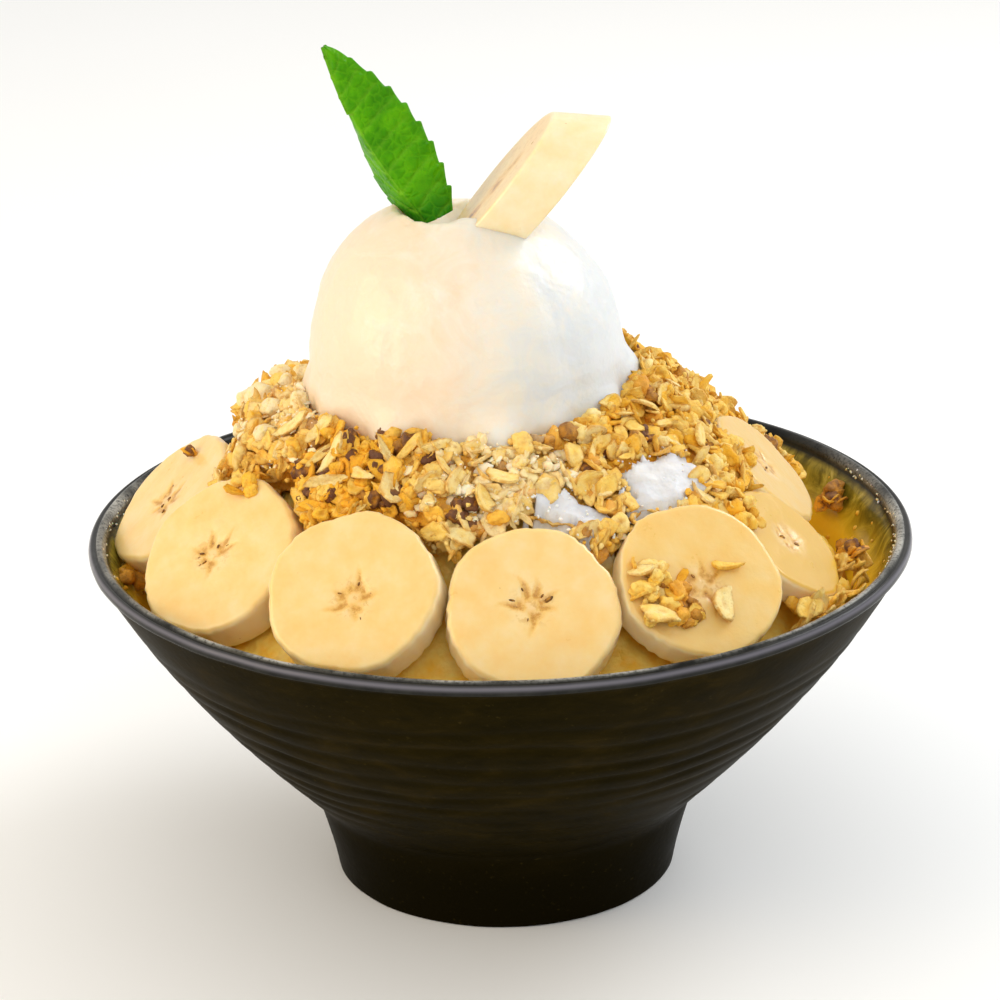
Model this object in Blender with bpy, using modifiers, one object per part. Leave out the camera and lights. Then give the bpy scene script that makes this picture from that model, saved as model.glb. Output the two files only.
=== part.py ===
"""Shaved ice dessert in a stoneware bowl.

A footed bowl is filled with shaved ice that rises to a cone. Toasted oat granola covers the
cone, banana slices lean on it all round, and a ball of ice cream on top holds a mint leaf and
a thick, slanted piece of banana.

Units are metres. +Z is up, the origin is at the centre of the foot's underside, and -Y is the
front. Azimuths are in degrees from +X towards +Y.
"""
import math

import bmesh
import bpy
from mathutils import Vector

# Bowl
RIM_RADIUS = 0.085
BOWL_HEIGHT = 0.076
LIP_HEIGHT = 0.0026
FOOT_RADIUS = 0.036
FOOT_CHAMFER = 0.0006
NECK_RADIUS = 0.0401
NECK_HEIGHT = 0.0168
FOOT_RECESS_RADIUS = 0.0295
FOOT_RECESS_DEPTH = 0.0026
FLOOR_HEIGHT = 0.0130
MOUTH_RADIUS = 0.0812

# Shaved ice
ICE_TOP = 0.1025
ICE_CONE = 0.1345            # radius + height on the cone's flank
ICE_EDGE_RADIUS = 0.0722
ICE_ROUND = 0.0024           # softness of the shoulder
ICE_WAVE = 0.0004

# Granola
GRANOLA_INNER_TOP = 0.1075   # height where it meets the ice cream
GRANOLA_SLOPE = 0.72         # fall of its surface for each metre outwards
GRANOLA_REACH = 0.0640       # outer edge where no slice leans
GRANOLA_LUMP = 0.0011
GRANOLA_BED = 0.0010         # clearance to the ice, more than the facets' sag
GRANOLA_LEAN = 0.0045        # how far the outer edge leans outwards, like the slices
GRANOLA_MARGIN = 0.0015      # clearance to the slices
GRANOLA_START = 0.040        # where the search for its lower edge begins
GRANOLA_EDGE_HEIGHT = 0.0085
GRANOLA_LEAST = 0.0022       # thickness at its thinnest

# Ice cream
SCOOP_CENTRE = (-0.0062, -0.0030, 0.1150)
SCOOP_RADIUS = 0.0317
SCOOP_BASE = 0.1031
SCOOP_STEPS = 36
SCOOP_LEAN = 0.0015          # how far the ball's top leans to the left
SKIRT_RADIUS = 0.0338
HOLLOW_RADIUS = 0.0125       # rim of the hollow on the ball's top
HOLLOW_FLOOR = 0.1402

# Mint leaf
LEAF_FOOT = (-0.0136, -0.0060, 0.1418)
LEAF_RISE = 0.0362
LEAF_LEAN = 0.0192           # how far the tip leans to the left
LEAF_BEND = 0.0027
LEAF_THICKNESS = 0.0007
LEAF_HALF_WIDTH = 0.0116
LEAF_TEETH = 8
LEAF_TOOTH = 0.0008

# Banana
BANANA_BEVEL = 0.0008
TOP_PIECE_CENTRE = (0.0001, -0.0040, 0.1488)
TOP_PIECE_SLANT = (0.634, 0.0, 0.773)
TOP_PIECE_ALONG = (0.9961, 0.0, -0.0879)
TOP_PIECE_LENGTH = 0.0372    # long axis of the slanted cut
TOP_PIECE_WIDTH = 0.0258
TOP_PIECE_THICKNESS = 0.0119

# Fit
GAP = 0.0003                 # clearance between pieces that touch
MERGE = 0.00001
TURN_STEPS = 56

# Position azimuth, distance from the axis, height of the face's centre, facing azimuth,
# facing elevation, slice radius and slice thickness.
SLICES = (
    (181.3, 0.0680, 0.0832, 198.0, 46.5, 0.0158, 0.0070),
    (213.0, 0.0666, 0.0838, 231.8, 46.0, 0.0170, 0.0078),
    (244.8, 0.0674, 0.0854, 254.0, 42.5, 0.0163, 0.0082),
    (275.0, 0.0658, 0.0832, 275.0, 43.0, 0.0169, 0.0078),
    (304.8, 0.0670, 0.0845, 295.4, 46.2, 0.0159, 0.0064),
    (332.9, 0.0648, 0.0819, 340.6, 48.2, 0.0135, 0.0056),
    (358.5, 0.0555, 0.0876, 352.8, 45.0, 0.0138, 0.0052),
    (60.0, 0.0655, 0.0826, 58.0, 44.0, 0.0155, 0.0080),
    (91.0, 0.0655, 0.0832, 93.0, 45.0, 0.0160, 0.0076),
    (122.0, 0.0655, 0.0828, 120.0, 44.0, 0.0161, 0.0080),
    (152.0, 0.0660, 0.0805, 153.0, 46.0, 0.0154, 0.0076),
)

# Azimuth, distance from the axis, height and width of the mounds of bare ice.
BARE_ICE = (
    (284.0, 0.0470, 0.0046, 0.0085),
    (318.0, 0.0465, 0.0060, 0.0095),
)

# Azimuth, half width in degrees and rise of the granola's broad swells and dips.
GRANOLA_SWELLS = (
    (172.0, 26.0, 0.0032),
    (25.0, 38.0, -0.0022),
)

# Azimuth, half width in degrees and depth of the bays in the granola's outer edge.
GRANOLA_BAYS = (
    (284.0, 7.0, 0.0060),
    (319.0, 12.0, 0.0080),
)


def smoothstep(low, high, value):
    """0 below low, 1 above high and an S curve between."""
    share = min(1.0, max(0.0, (value - low) / (high - low)))
    return share * share * (3.0 - 2.0 * share)


def angle_between(first, second):
    """Signed difference of two azimuths, in degrees from -180 to 180."""
    return (first - second + 180.0) % 360.0 - 180.0


def on_circle(azimuth, radius, height=0.0):
    """Point at an azimuth in degrees, a radius and a height."""
    turn = math.radians(azimuth)
    return Vector((radius * math.cos(turn), radius * math.sin(turn), height))


def bezier(start, leave, arrive, end, count):
    """Points along a cubic curve in the (radius, height) plane, both ends included."""
    points = []
    for step in range(count + 1):
        t = step / count
        weights = ((1 - t) ** 3, 3 * t * (1 - t) ** 2, 3 * t * t * (1 - t), t ** 3)
        knots = (start, leave, arrive, end)
        points.append(tuple(sum(w * k[axis] for w, k in zip(weights, knots)) for axis in (0, 1)))
    return points


def clear_scene():
    for item in list(bpy.data.objects):
        bpy.data.objects.remove(item, do_unlink=True)


def make_collection(name):
    collection = bpy.data.collections.new(name)
    bpy.context.scene.collection.children.link(collection)
    return collection


def make_material(name, colour, roughness, metallic=0.0):
    material = bpy.data.materials.new(name)
    material.use_nodes = True
    shader = material.node_tree.nodes["Principled BSDF"]
    shader.inputs["Base Color"].default_value = (*colour, 1.0)
    shader.inputs["Roughness"].default_value = roughness
    shader.inputs["Metallic"].default_value = metallic
    return material


def add_object(name, mesh, material, collection, sharp_angle=50.0):
    """Link a mesh as an object, shaded smooth except at its sharp edges."""
    item = bpy.data.objects.new(name, mesh)
    collection.objects.link(item)
    mesh.materials.clear()
    mesh.materials.append(material)
    mesh.shade_smooth()
    mesh.set_sharp_from_angle(angle=math.radians(sharp_angle))
    return item


def mesh_from(bm, name):
    mesh = bpy.data.meshes.new(name)
    bm.to_mesh(mesh)
    bm.free()
    return mesh


def turned(name, profile, steps, material, collection):
    """Turn a (radius, height) profile about Z with a Screw modifier."""
    mesh = bpy.data.meshes.new(name)
    points = [(radius, 0.0, height) for radius, height in profile]
    mesh.from_pydata(points, [(i, i + 1) for i in range(len(points) - 1)], [])
    item = add_object(name, mesh, material, collection)
    screw = item.modifiers.new("Turn", "SCREW")
    screw.steps = steps
    screw.render_steps = steps
    screw.use_merge_vertices = True
    screw.merge_threshold = MERGE
    return item


def reshape(item, move):
    """Freeze an object's modifiers, then send every vertex through a function."""
    graph = bpy.context.evaluated_depsgraph_get()
    frozen = bpy.data.meshes.new_from_object(item.evaluated_get(graph))
    item.modifiers.clear()
    item.data = frozen
    for vertex in frozen.vertices:
        vertex.co = move(vertex.co)
    frozen.shade_smooth()


def subtract(item, cutter):
    boolean = item.modifiers.new("Cut " + cutter.name, "BOOLEAN")
    boolean.operation = "DIFFERENCE"
    boolean.solver = "EXACT"
    boolean.object = cutter


# ---------------------------------------------------------------------------------- bowl
def bowl_inside():
    """Inner wall from the mouth down to the middle of the floor."""
    wall = bezier((0.0814, 0.0742), (0.0715, 0.0570), (0.0560, 0.0380), (0.0370, 0.0175), 6)
    return wall + [(0.0290, 0.0140), (0.0, FLOOR_HEIGHT)]


def bowl_profile():
    """Floor, inner wall, rounded lip, outer wall, foot and recess, from axis to axis."""
    lip_base = BOWL_HEIGHT - LIP_HEIGHT
    lip = [
        (MOUTH_RADIUS + 0.0006, BOWL_HEIGHT - 0.0008),
        (MOUTH_RADIUS + 0.0014, BOWL_HEIGHT),
        (RIM_RADIUS - 0.0011, BOWL_HEIGHT),
        (RIM_RADIUS - 0.0002, BOWL_HEIGHT - 0.0007),
        (RIM_RADIUS, BOWL_HEIGHT - 0.0014),
        (RIM_RADIUS - 0.0003, lip_base + 0.0002),
    ]
    belly = bezier((0.0840, lip_base - 0.0003), (0.0741, 0.0545), (0.0606, 0.0380), (0.0426, 0.0200), 8)
    foot = [
        (NECK_RADIUS, NECK_HEIGHT),
        (0.0373, 0.0072),
        (FOOT_RADIUS, FOOT_CHAMFER),
        (FOOT_RADIUS - FOOT_CHAMFER, 0.0),
        (FOOT_RECESS_RADIUS + FOOT_CHAMFER, 0.0),
        (FOOT_RECESS_RADIUS, FOOT_CHAMFER),
        (FOOT_RECESS_RADIUS - 0.0012, FOOT_RECESS_DEPTH),
        (0.0, FOOT_RECESS_DEPTH),
    ]
    return bowl_inside()[::-1] + lip + belly + foot


def make_bowl(collection):
    glaze = make_material("dark_glaze", (0.014, 0.010, 0.003), 0.35)
    return turned("bowl", bowl_profile(), TURN_STEPS, glaze, collection)


# ---------------------------------------------------------------------------- shaved ice
def ice_height(x, y):
    """Surface of the ice: a cone with a flat top, soft hollows and the bare mounds."""
    radius = math.hypot(x, y)
    azimuth = math.degrees(math.atan2(y, x))
    shoulder = ICE_CONE - ICE_TOP
    height = ICE_TOP - ICE_ROUND * math.log1p(math.exp((radius - shoulder) / ICE_ROUND))
    ruffled = smoothstep(shoulder, shoulder + 0.008, radius)
    height += ruffled * ICE_WAVE * math.sin(math.radians(5.0 * azimuth) + 300.0 * radius)
    for place, distance, rise, width in BARE_ICE:
        away = (Vector((x, y)) - on_circle(place, distance).xy).length
        height += rise * math.exp(-((away / width) ** 2))
    return height


def make_ice(collection):
    ice = make_material("shaved_ice", (0.90, 0.84, 0.74), 0.55)
    steps = 9
    shoulder = ICE_CONE - ICE_TOP
    flank = [shoulder + (ICE_EDGE_RADIUS - shoulder) * step / steps for step in range(1, steps + 1)]
    top = [(0.0, ICE_TOP), (0.018, ICE_TOP), (shoulder, ICE_TOP)]
    top += [(radius, ICE_CONE - radius) for radius in flank]
    wall = [(r - 1.5 * GAP, h + 0.5 * GAP) for r, h in bowl_inside() if h < ICE_CONE - ICE_EDGE_RADIUS]
    buried = wall[1:-1:2] + [(0.0, FLOOR_HEIGHT + GAP)]
    item = turned("shaved_ice", top + buried, TURN_STEPS, ice, collection)
    lowest_top = top[-1][1] - MERGE

    def settle(point):
        if point.z < lowest_top:
            return point
        return Vector((point.x, point.y, ice_height(point.x, point.y)))

    reshape(item, settle)
    return item


# ------------------------------------------------------------------------------- granola
def skirt_radius(azimuth):
    """Radius of the ice cream's spread foot, about its own axis."""
    turn = math.radians(azimuth)
    lobes = 0.0006 * math.cos(turn) + 0.0005 * math.cos(5.0 * turn + 0.8)
    return SKIRT_RADIUS + lobes


def granola_inner(azimuth):
    """Point of the inner edge, which follows the ice cream's foot."""
    edge = on_circle(azimuth, skirt_radius(azimuth) + 0.0006)
    return Vector((SCOOP_CENTRE[0] + edge.x, SCOOP_CENTRE[1] + edge.y))


def facing_normal(facing, elevation):
    """Unit vector that a slice's face looks along."""
    turn = math.radians(elevation)
    return on_circle(facing, math.cos(turn), math.sin(turn))


def touches_slice(point, margin):
    """Whether a point lies inside a slice that is grown by a margin."""
    for place, distance, height, facing, elevation, size, thickness in SLICES:
        offset = point - on_circle(place, distance, height)
        normal = facing_normal(facing, elevation)
        depth = -offset.dot(normal)
        across = (offset + normal * depth).length
        if across < 1.03 * size + margin and -margin < depth < thickness + margin:
            return True
    return False


def granola_reach(azimuth):
    """Radius of the lower edge, which stops at the slices and at the bare ice."""
    limit = GRANOLA_REACH + 0.0012 * math.sin(math.radians(7.0 * azimuth))
    for place, half_width, depth in GRANOLA_BAYS:
        offset = angle_between(azimuth, place) / half_width
        limit -= depth * math.exp(-offset * offset)
    stride = 0.0004
    radius = GRANOLA_START
    while radius < limit:
        base = on_circle(azimuth, radius)
        low = ice_height(base.x, base.y) + GRANOLA_BED
        for rise in (0.0, 0.3, 0.6, 1.0):
            probe = on_circle(azimuth, radius + GRANOLA_LEAN * rise, low + GRANOLA_EDGE_HEIGHT * rise)
            if touches_slice(probe, GRANOLA_MARGIN):
                return radius - stride
        radius += stride
    return limit


def granola_top(x, y):
    """Surface of the heap, heaped up on the left, lower at the back right and lumpy all over."""
    radius = math.hypot(x, y)
    azimuth = math.degrees(math.atan2(y, x))
    from_cream = math.hypot(x - SCOOP_CENTRE[0], y - SCOOP_CENTRE[1])
    height = GRANOLA_INNER_TOP - GRANOLA_SLOPE * (min(radius, from_cream) - SKIRT_RADIUS)
    for place, width, rise in GRANOLA_SWELLS:
        offset = angle_between(azimuth, place) / width
        height += rise * math.exp(-offset * offset) * smoothstep(0.040, 0.050, radius)
    lump = math.sin(620.0 * x + 1.0) * math.sin(540.0 * y) + 0.6 * math.sin(980.0 * (x - y))
    return height + GRANOLA_LUMP * lump


def make_granola(collection):
    """A ring whose section lies on the ice and is as thick as the slices beside it."""
    oats = make_material("toasted_oats", (0.62, 0.33, 0.08), 0.6)
    section = ((0.0, 0), (0.16, 0), (0.34, 0), (0.55, 0), (0.78, 0), (1.0, 0),
               (1.0, 1), (0.84, 1), (0.64, 1), (0.42, 1), (0.2, 1), (0.0, 1))
    steps = 72
    bpy.ops.mesh.primitive_torus_add(
        major_segments=steps, minor_segments=len(section), major_radius=1.0, minor_radius=0.25)
    ring = bpy.context.object
    mesh = ring.data
    bpy.data.objects.remove(ring, do_unlink=True)
    for vertex in mesh.vertices:
        azimuth = math.degrees(math.atan2(vertex.co.y, vertex.co.x))
        swing = math.atan2(vertex.co.z, math.hypot(vertex.co.x, vertex.co.y) - 1.0)
        share, level = section[round(swing / math.tau * len(section)) % len(section)]
        inner = granola_inner(azimuth)
        outer = on_circle(azimuth, granola_reach(azimuth)).xy
        spot = inner.lerp(outer, share)
        low = ice_height(spot.x, spot.y) + GRANOLA_BED
        if level == 0:
            vertex.co = (spot.x, spot.y, low)
            continue
        spot += spot.normalized() * GRANOLA_LEAN * smoothstep(0.0, 1.0, share)
        edge = 1.0 - 0.35 * smoothstep(0.8, 1.0, share)
        thick = max(GRANOLA_LEAST, granola_top(spot.x, spot.y) - low) * edge
        vertex.co = (spot.x, spot.y, low + thick)
    bm = bmesh.new()
    bm.from_mesh(mesh)
    bmesh.ops.recalc_face_normals(bm, faces=bm.faces)
    bm.to_mesh(mesh)
    bm.free()
    return add_object("granola", mesh, oats, collection)


# ----------------------------------------------------------------------------- ice cream
def scoop_profile():
    """Hollow, ball, spread foot and flat underside, about the ball's own axis."""
    centre = SCOOP_CENTRE[2]
    rim_turn = math.asin(HOLLOW_RADIUS / SCOOP_RADIUS)
    points = [(0.0, HOLLOW_FLOOR - centre), (0.0070, HOLLOW_FLOOR - centre + 0.0004),
              (0.0102, HOLLOW_FLOOR - centre + 0.0024)]
    for step in range(10):
        turn = rim_turn + (math.radians(97.0) - rim_turn) * step / 9
        points.append((SCOOP_RADIUS * math.sin(turn), SCOOP_RADIUS * math.cos(turn)))
    points += [(0.0326, -0.0062), (SKIRT_RADIUS, -0.0086), (SKIRT_RADIUS - 0.0006, -0.0106),
               (SKIRT_RADIUS - 0.0024, SCOOP_BASE - centre), (0.0, SCOOP_BASE - centre)]
    return points


def make_scoop(collection, pocket):
    cream = make_material("ice_cream", (0.95, 0.88, 0.74), 0.28)
    item = turned("ice_cream", scoop_profile(), SCOOP_STEPS, cream, collection)

    def soften(point):
        azimuth = math.degrees(math.atan2(point.y, point.x))
        spread = 1.0 - smoothstep(-0.0085, -0.0020, point.z)
        radius = max(MERGE, math.hypot(point.x, point.y))
        wanted = spread * (skirt_radius(azimuth) - SKIRT_RADIUS)
        grow = 1.0 + wanted / radius if radius > 0.02 else 1.0
        lean = SCOOP_LEAN * smoothstep(0.010, 0.027, point.z)
        return Vector((point.x * grow - lean, point.y * grow, point.z))

    reshape(item, soften)
    item.location = SCOOP_CENTRE
    subtract(item, pocket)
    return item


# ------------------------------------------------------------------------------- banana
def slice_outline(turn, phase):
    """Share of the radius at an angle: round with five soft sides."""
    return 1.0 + 0.018 * math.cos(5.0 * (turn - phase)) + 0.014 * math.cos(2.0 * turn + 3.0 * phase)


def make_slices(collection):
    banana = make_material("banana", (0.92, 0.70, 0.38), 0.4)
    for number, row in enumerate(SLICES, start=1):
        place, distance, height, facing, elevation, size, thickness = row
        bm = bmesh.new()
        bmesh.ops.create_cone(bm, cap_ends=True, segments=20, radius1=size, radius2=size, depth=thickness)
        for vert in bm.verts:
            turn = math.atan2(vert.co.y, vert.co.x)
            share = slice_outline(turn, number)
            vert.co = (vert.co.x * share, vert.co.y * share, vert.co.z - thickness / 2)
        name = "banana_slice_%02d" % number
        item = add_object(name, mesh_from(bm, name), banana, collection, 60.0)
        item.location = on_circle(place, distance, height)
        item.rotation_euler = (0.0, math.radians(90.0 - elevation), math.radians(facing))
        bevel = item.modifiers.new("Soft edge", "BEVEL")
        bevel.width = BANANA_BEVEL
        bevel.segments = 1
        bevel.limit_method = "ANGLE"
        bevel.angle_limit = math.radians(50.0)


def top_piece_mesh(name, grow):
    """Banana cut twice on the slant: an oval face moved along the fruit's own axis."""
    bm = bmesh.new()
    bmesh.ops.create_cone(bm, cap_ends=True, segments=28, radius1=1.0, radius2=1.0, depth=1.0)
    slant = Vector(TOP_PIECE_SLANT)
    along = Vector(TOP_PIECE_ALONG)
    for vert in bm.verts:
        across = vert.co.x * (TOP_PIECE_LENGTH / 2 + grow)
        deep = vert.co.y * (TOP_PIECE_WIDTH / 2 + grow)
        reach = (vert.co.z + 0.5) * (TOP_PIECE_THICKNESS + 2 * grow) - grow
        vert.co = slant * across - Vector((0.0, deep, 0.0)) + along * reach
    return mesh_from(bm, name)


def make_top_piece(collection, cutters):
    """The slanted piece on top, and the slightly larger cutter of its pocket in the ball."""
    banana = make_material("top_banana", (0.92, 0.74, 0.45), 0.4)
    item = add_object("banana_top", top_piece_mesh("banana_top", 0.0), banana, collection, 60.0)
    item.location = TOP_PIECE_CENTRE
    pocket = add_object("top_pocket", top_piece_mesh("top_pocket", GAP), banana, cutters)
    pocket.location = TOP_PIECE_CENTRE
    pocket.hide_render = True
    pocket.display_type = "WIRE"
    return pocket


# ----------------------------------------------------------------------------- mint leaf
def leaf_rib(share):
    """Point of the folded leaf's spine, from the stem end to the tip."""
    lean = -LEAF_LEAN * share - LEAF_BEND * math.sin(math.pi * share)
    return Vector(LEAF_FOOT) + Vector((lean, 0.0020 * share, LEAF_RISE * share))


def leaf_width(share):
    """Half width: widest near the stem, narrowing to the tip, with a toothed edge."""
    outline = max(0.0, math.sin(math.pi * (0.165 + 0.835 * share))) ** 0.8
    tooth = LEAF_TOOTH * (1.0 - 2.0 * abs((share * LEAF_TEETH) % 1.0 - 0.5)) * outline
    return LEAF_HALF_WIDTH * outline - tooth


def make_leaf(collection):
    mint = make_material("mint", (0.10, 0.36, 0.01), 0.45)
    bm = bmesh.new()
    bmesh.ops.create_grid(bm, x_segments=4, y_segments=2 * LEAF_TEETH, size=1.0)
    right = Vector((0.90, 0.16, 0.40)).normalized()
    left_low = Vector((-0.61, 0.72, 0.33)).normalized()
    left_high = Vector((-0.36, 0.93, 0.05)).normalized()
    for vert in bm.verts:
        share = 0.5 * (vert.co.y + 1.0)
        across = vert.co.x
        width = leaf_width(share)
        side = right if across > 0 else left_low.lerp(left_high, min(1.0, 1.6 * share))
        vert.co = leaf_rib(share) + side * abs(across) * max(width, 0.0002)
    item = add_object("mint_leaf", mesh_from(bm, "mint_leaf"), mint, collection)
    shell = item.modifiers.new("Blade", "SOLIDIFY")
    shell.thickness = LEAF_THICKNESS
    shell.offset = 0.0
    return item


def main():
    clear_scene()
    dessert = make_collection("shaved_ice_dessert")
    cutters = make_collection("cutters")
    make_bowl(dessert)
    make_ice(dessert)
    make_granola(dessert)
    make_slices(dessert)
    pocket = make_top_piece(dessert, cutters)
    make_scoop(dessert, pocket)
    make_leaf(dessert)


main()
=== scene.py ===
"""Looks of the shaved ice dessert: glaze, snow, toasted oats, banana, ice cream and mint.

Units are metres in the frame of the CAD model: +Z is up, the origin is at the centre of the
foot's underside and -Y is the front. Azimuths are in degrees from +X towards +Y.
"""
import math
import random

import bmesh
import bpy
import numpy as np
from mathutils import Matrix, Vector, noise
from mathutils.bvhtree import BVHTree


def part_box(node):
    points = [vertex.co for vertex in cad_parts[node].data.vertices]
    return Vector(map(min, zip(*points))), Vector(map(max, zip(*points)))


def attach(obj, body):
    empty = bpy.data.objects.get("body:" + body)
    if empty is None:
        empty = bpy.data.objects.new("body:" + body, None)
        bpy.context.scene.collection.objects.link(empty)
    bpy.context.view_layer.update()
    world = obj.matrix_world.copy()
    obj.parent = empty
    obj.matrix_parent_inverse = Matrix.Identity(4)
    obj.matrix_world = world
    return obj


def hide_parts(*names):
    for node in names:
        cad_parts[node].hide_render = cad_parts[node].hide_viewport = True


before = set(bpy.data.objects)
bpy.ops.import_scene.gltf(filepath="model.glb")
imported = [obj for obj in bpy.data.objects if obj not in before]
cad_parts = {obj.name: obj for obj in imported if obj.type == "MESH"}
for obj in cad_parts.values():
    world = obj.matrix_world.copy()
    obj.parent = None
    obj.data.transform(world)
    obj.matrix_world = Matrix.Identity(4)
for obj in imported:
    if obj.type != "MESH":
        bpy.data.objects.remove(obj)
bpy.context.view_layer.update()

RIM_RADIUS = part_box("bowl")[1].x
BOWL_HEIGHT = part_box("bowl")[1].z

# Bowl
LIP_RADIUS = 0.0018           # half the thickness of the rolled lip
LIP_GROOVE = 0.00060          # depth of the groove along the lip's top
LIP_STEPS = 28
FOOT_RADIUS = 0.036
RIDGE_SPACING = 0.0047
RIDGE_DEPTH = 0.00046

# Ice cream
SCOOP_CENTRE = Vector((-0.0062, -0.0030, 0.1150))
SCOOP_RADIUS = 0.0317
SCOOP_BASE = 0.1031
SCOOP_LEAN = 0.0015
HOLLOW_RADIUS = 0.0125
HOLLOW_FLOOR = 0.1402
HOLLOW_LUMP = Vector((-0.0060, -0.0095))

# Bare snow among the oats: azimuth, distance from the axis, half width along and across.
SNOW_PATCHES = (
    (312.5, 0.0475, 0.0102, 0.0046),
    (284.0, 0.0500, 0.0078, 0.0036),
)

# Camera
CAMERA_DISTANCE = 0.70
CAMERA_ELEVATION = 20.9
CAMERA_ROLL = 1.07
CAMERA_LENS = 121.5
CAMERA_SHIFT = 0.0204

VOXEL = 0.0008                # remeshing of the granola's core
SNOW_VOXEL = 0.0011


# ------------------------------------------------------------------------------- helpers
def smoothstep(low, high, value):
    """0 below low, 1 above high and an S curve between."""
    share = min(1.0, max(0.0, (value - low) / (high - low)))
    return share * share * (3.0 - 2.0 * share)


def bell(value, width):
    """1 at 0, falling to almost nothing at twice the width."""
    return math.exp(-((value / width) ** 2))


def angle_between(first, second):
    """Signed difference of two azimuths, in degrees from -180 to 180."""
    return (first - second + 180.0) % 360.0 - 180.0


def on_circle(azimuth, radius, height=0.0):
    """Point at an azimuth in degrees, a radius and a height."""
    turn = math.radians(azimuth)
    return Vector((radius * math.cos(turn), radius * math.sin(turn), height))


def azimuth_of(point):
    return math.degrees(math.atan2(point.y, point.x))


def rough(point, size, octaves=3):
    """Smooth noise of about -1 to 1 whose largest bumps are a size across."""
    return noise.fractal(point / size, 1.0, 2.0, octaves)


def bezier(start, leave, arrive, end, count):
    """Points along a cubic curve in the (radius, height) plane, both ends included."""
    points = []
    for step in range(count + 1):
        t = step / count
        weights = ((1 - t) ** 3, 3 * t * (1 - t) ** 2, 3 * t * t * (1 - t), t ** 3)
        knots = (start, leave, arrive, end)
        points.append(tuple(sum(w * k[axis] for w, k in zip(weights, knots)) for axis in (0, 1)))
    return points


def add_piece(name, mesh, material, slot, *nodes):
    """Link a mesh as a piece on the root body, standing for the given CAD nodes."""
    item = bpy.data.objects.new(name, mesh)
    bpy.context.scene.collection.objects.link(item)
    mesh.materials.clear()
    mesh.materials.append(material)
    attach(item, "root")
    if nodes:
        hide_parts(*nodes)
    return item


def paint(mesh, name, values):
    """Keep one number for each vertex, for the material to read."""
    layer = mesh.attributes.new(name, "FLOAT", "POINT")
    layer.data.foreach_set("value", np.asarray(values, np.float32))


def ring_mesh(name, rings, bottom, top):
    """A closed mesh through rings of points from bottom to top, with a point at each end."""
    columns = len(rings[0])
    verts = [bottom] + [point for ring in rings for point in ring] + [top]
    faces = []
    for step in range(columns):
        after = (step + 1) % columns
        faces.append((0, 1 + after, 1 + step))
        for row in range(len(rings) - 1):
            low = 1 + row * columns
            faces.append((low + step, low + after, low + columns + after, low + columns + step))
        last = 1 + (len(rings) - 1) * columns
        faces.append((last + step, last + after, len(verts) - 1))
    mesh = bpy.data.meshes.new(name)
    mesh.from_pydata(verts, [], faces)
    mesh.shade_smooth()
    return mesh


def remeshed(name, node, voxel):
    """A fine, even copy of a CAD node's mesh."""
    item = bpy.data.objects.new(name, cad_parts[node].data.copy())
    bpy.context.scene.collection.objects.link(item)
    remesh = item.modifiers.new("Even", "REMESH")
    remesh.mode = "VOXEL"
    remesh.voxel_size = voxel
    soften = item.modifiers.new("Soften", "SMOOTH")
    soften.factor = 0.5
    soften.iterations = 4
    graph = bpy.context.evaluated_depsgraph_get()
    mesh = bpy.data.meshes.new_from_object(item.evaluated_get(graph))
    mesh.name = name
    bpy.data.objects.remove(item, do_unlink=True)
    mesh.shade_smooth()
    return mesh


def push_out(mesh, distance):
    """Move every vertex along its normal, by a function of its place and normal."""
    places = [vertex.co.copy() for vertex in mesh.vertices]
    normals = [vertex.normal.copy() for vertex in mesh.vertices]
    moved = [place + normal * distance(place, normal) for place, normal in zip(places, normals)]
    mesh.vertices.foreach_set("co", np.array(moved, np.float32).ravel())
    mesh.update()
    return places


def surface_of(*nodes):
    """A tree for rays against the joined meshes of CAD nodes."""
    verts = []
    faces = []
    for node in nodes:
        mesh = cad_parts[node].data
        base = len(verts)
        verts += [vertex.co.copy() for vertex in mesh.vertices]
        faces += [[base + index for index in face.vertices] for face in mesh.polygons]
    return BVHTree.FromPolygons(verts, faces)


def straight_down(tree, x, y):
    """Where a ray from above meets a tree, as (point, normal), or (None, None)."""
    point, normal, _, _ = tree.ray_cast(Vector((x, y, 0.3)), Vector((0.0, 0.0, -1.0)))
    return point, normal


def frame_on(point, normal, turn=0.0):
    """Matrix that stands local +Z on a normal at a point, turned about that normal."""
    side = Vector((0.0, 0.0, 1.0)).cross(normal)
    if side.length < 1e-6:
        side = Vector((1.0, 0.0, 0.0))
    side.normalize()
    ahead = normal.cross(side)
    turned = Matrix((side, ahead, normal)).transposed().to_4x4()
    return Matrix.Translation(point) @ turned @ Matrix.Rotation(turn, 4, "Z")


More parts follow.
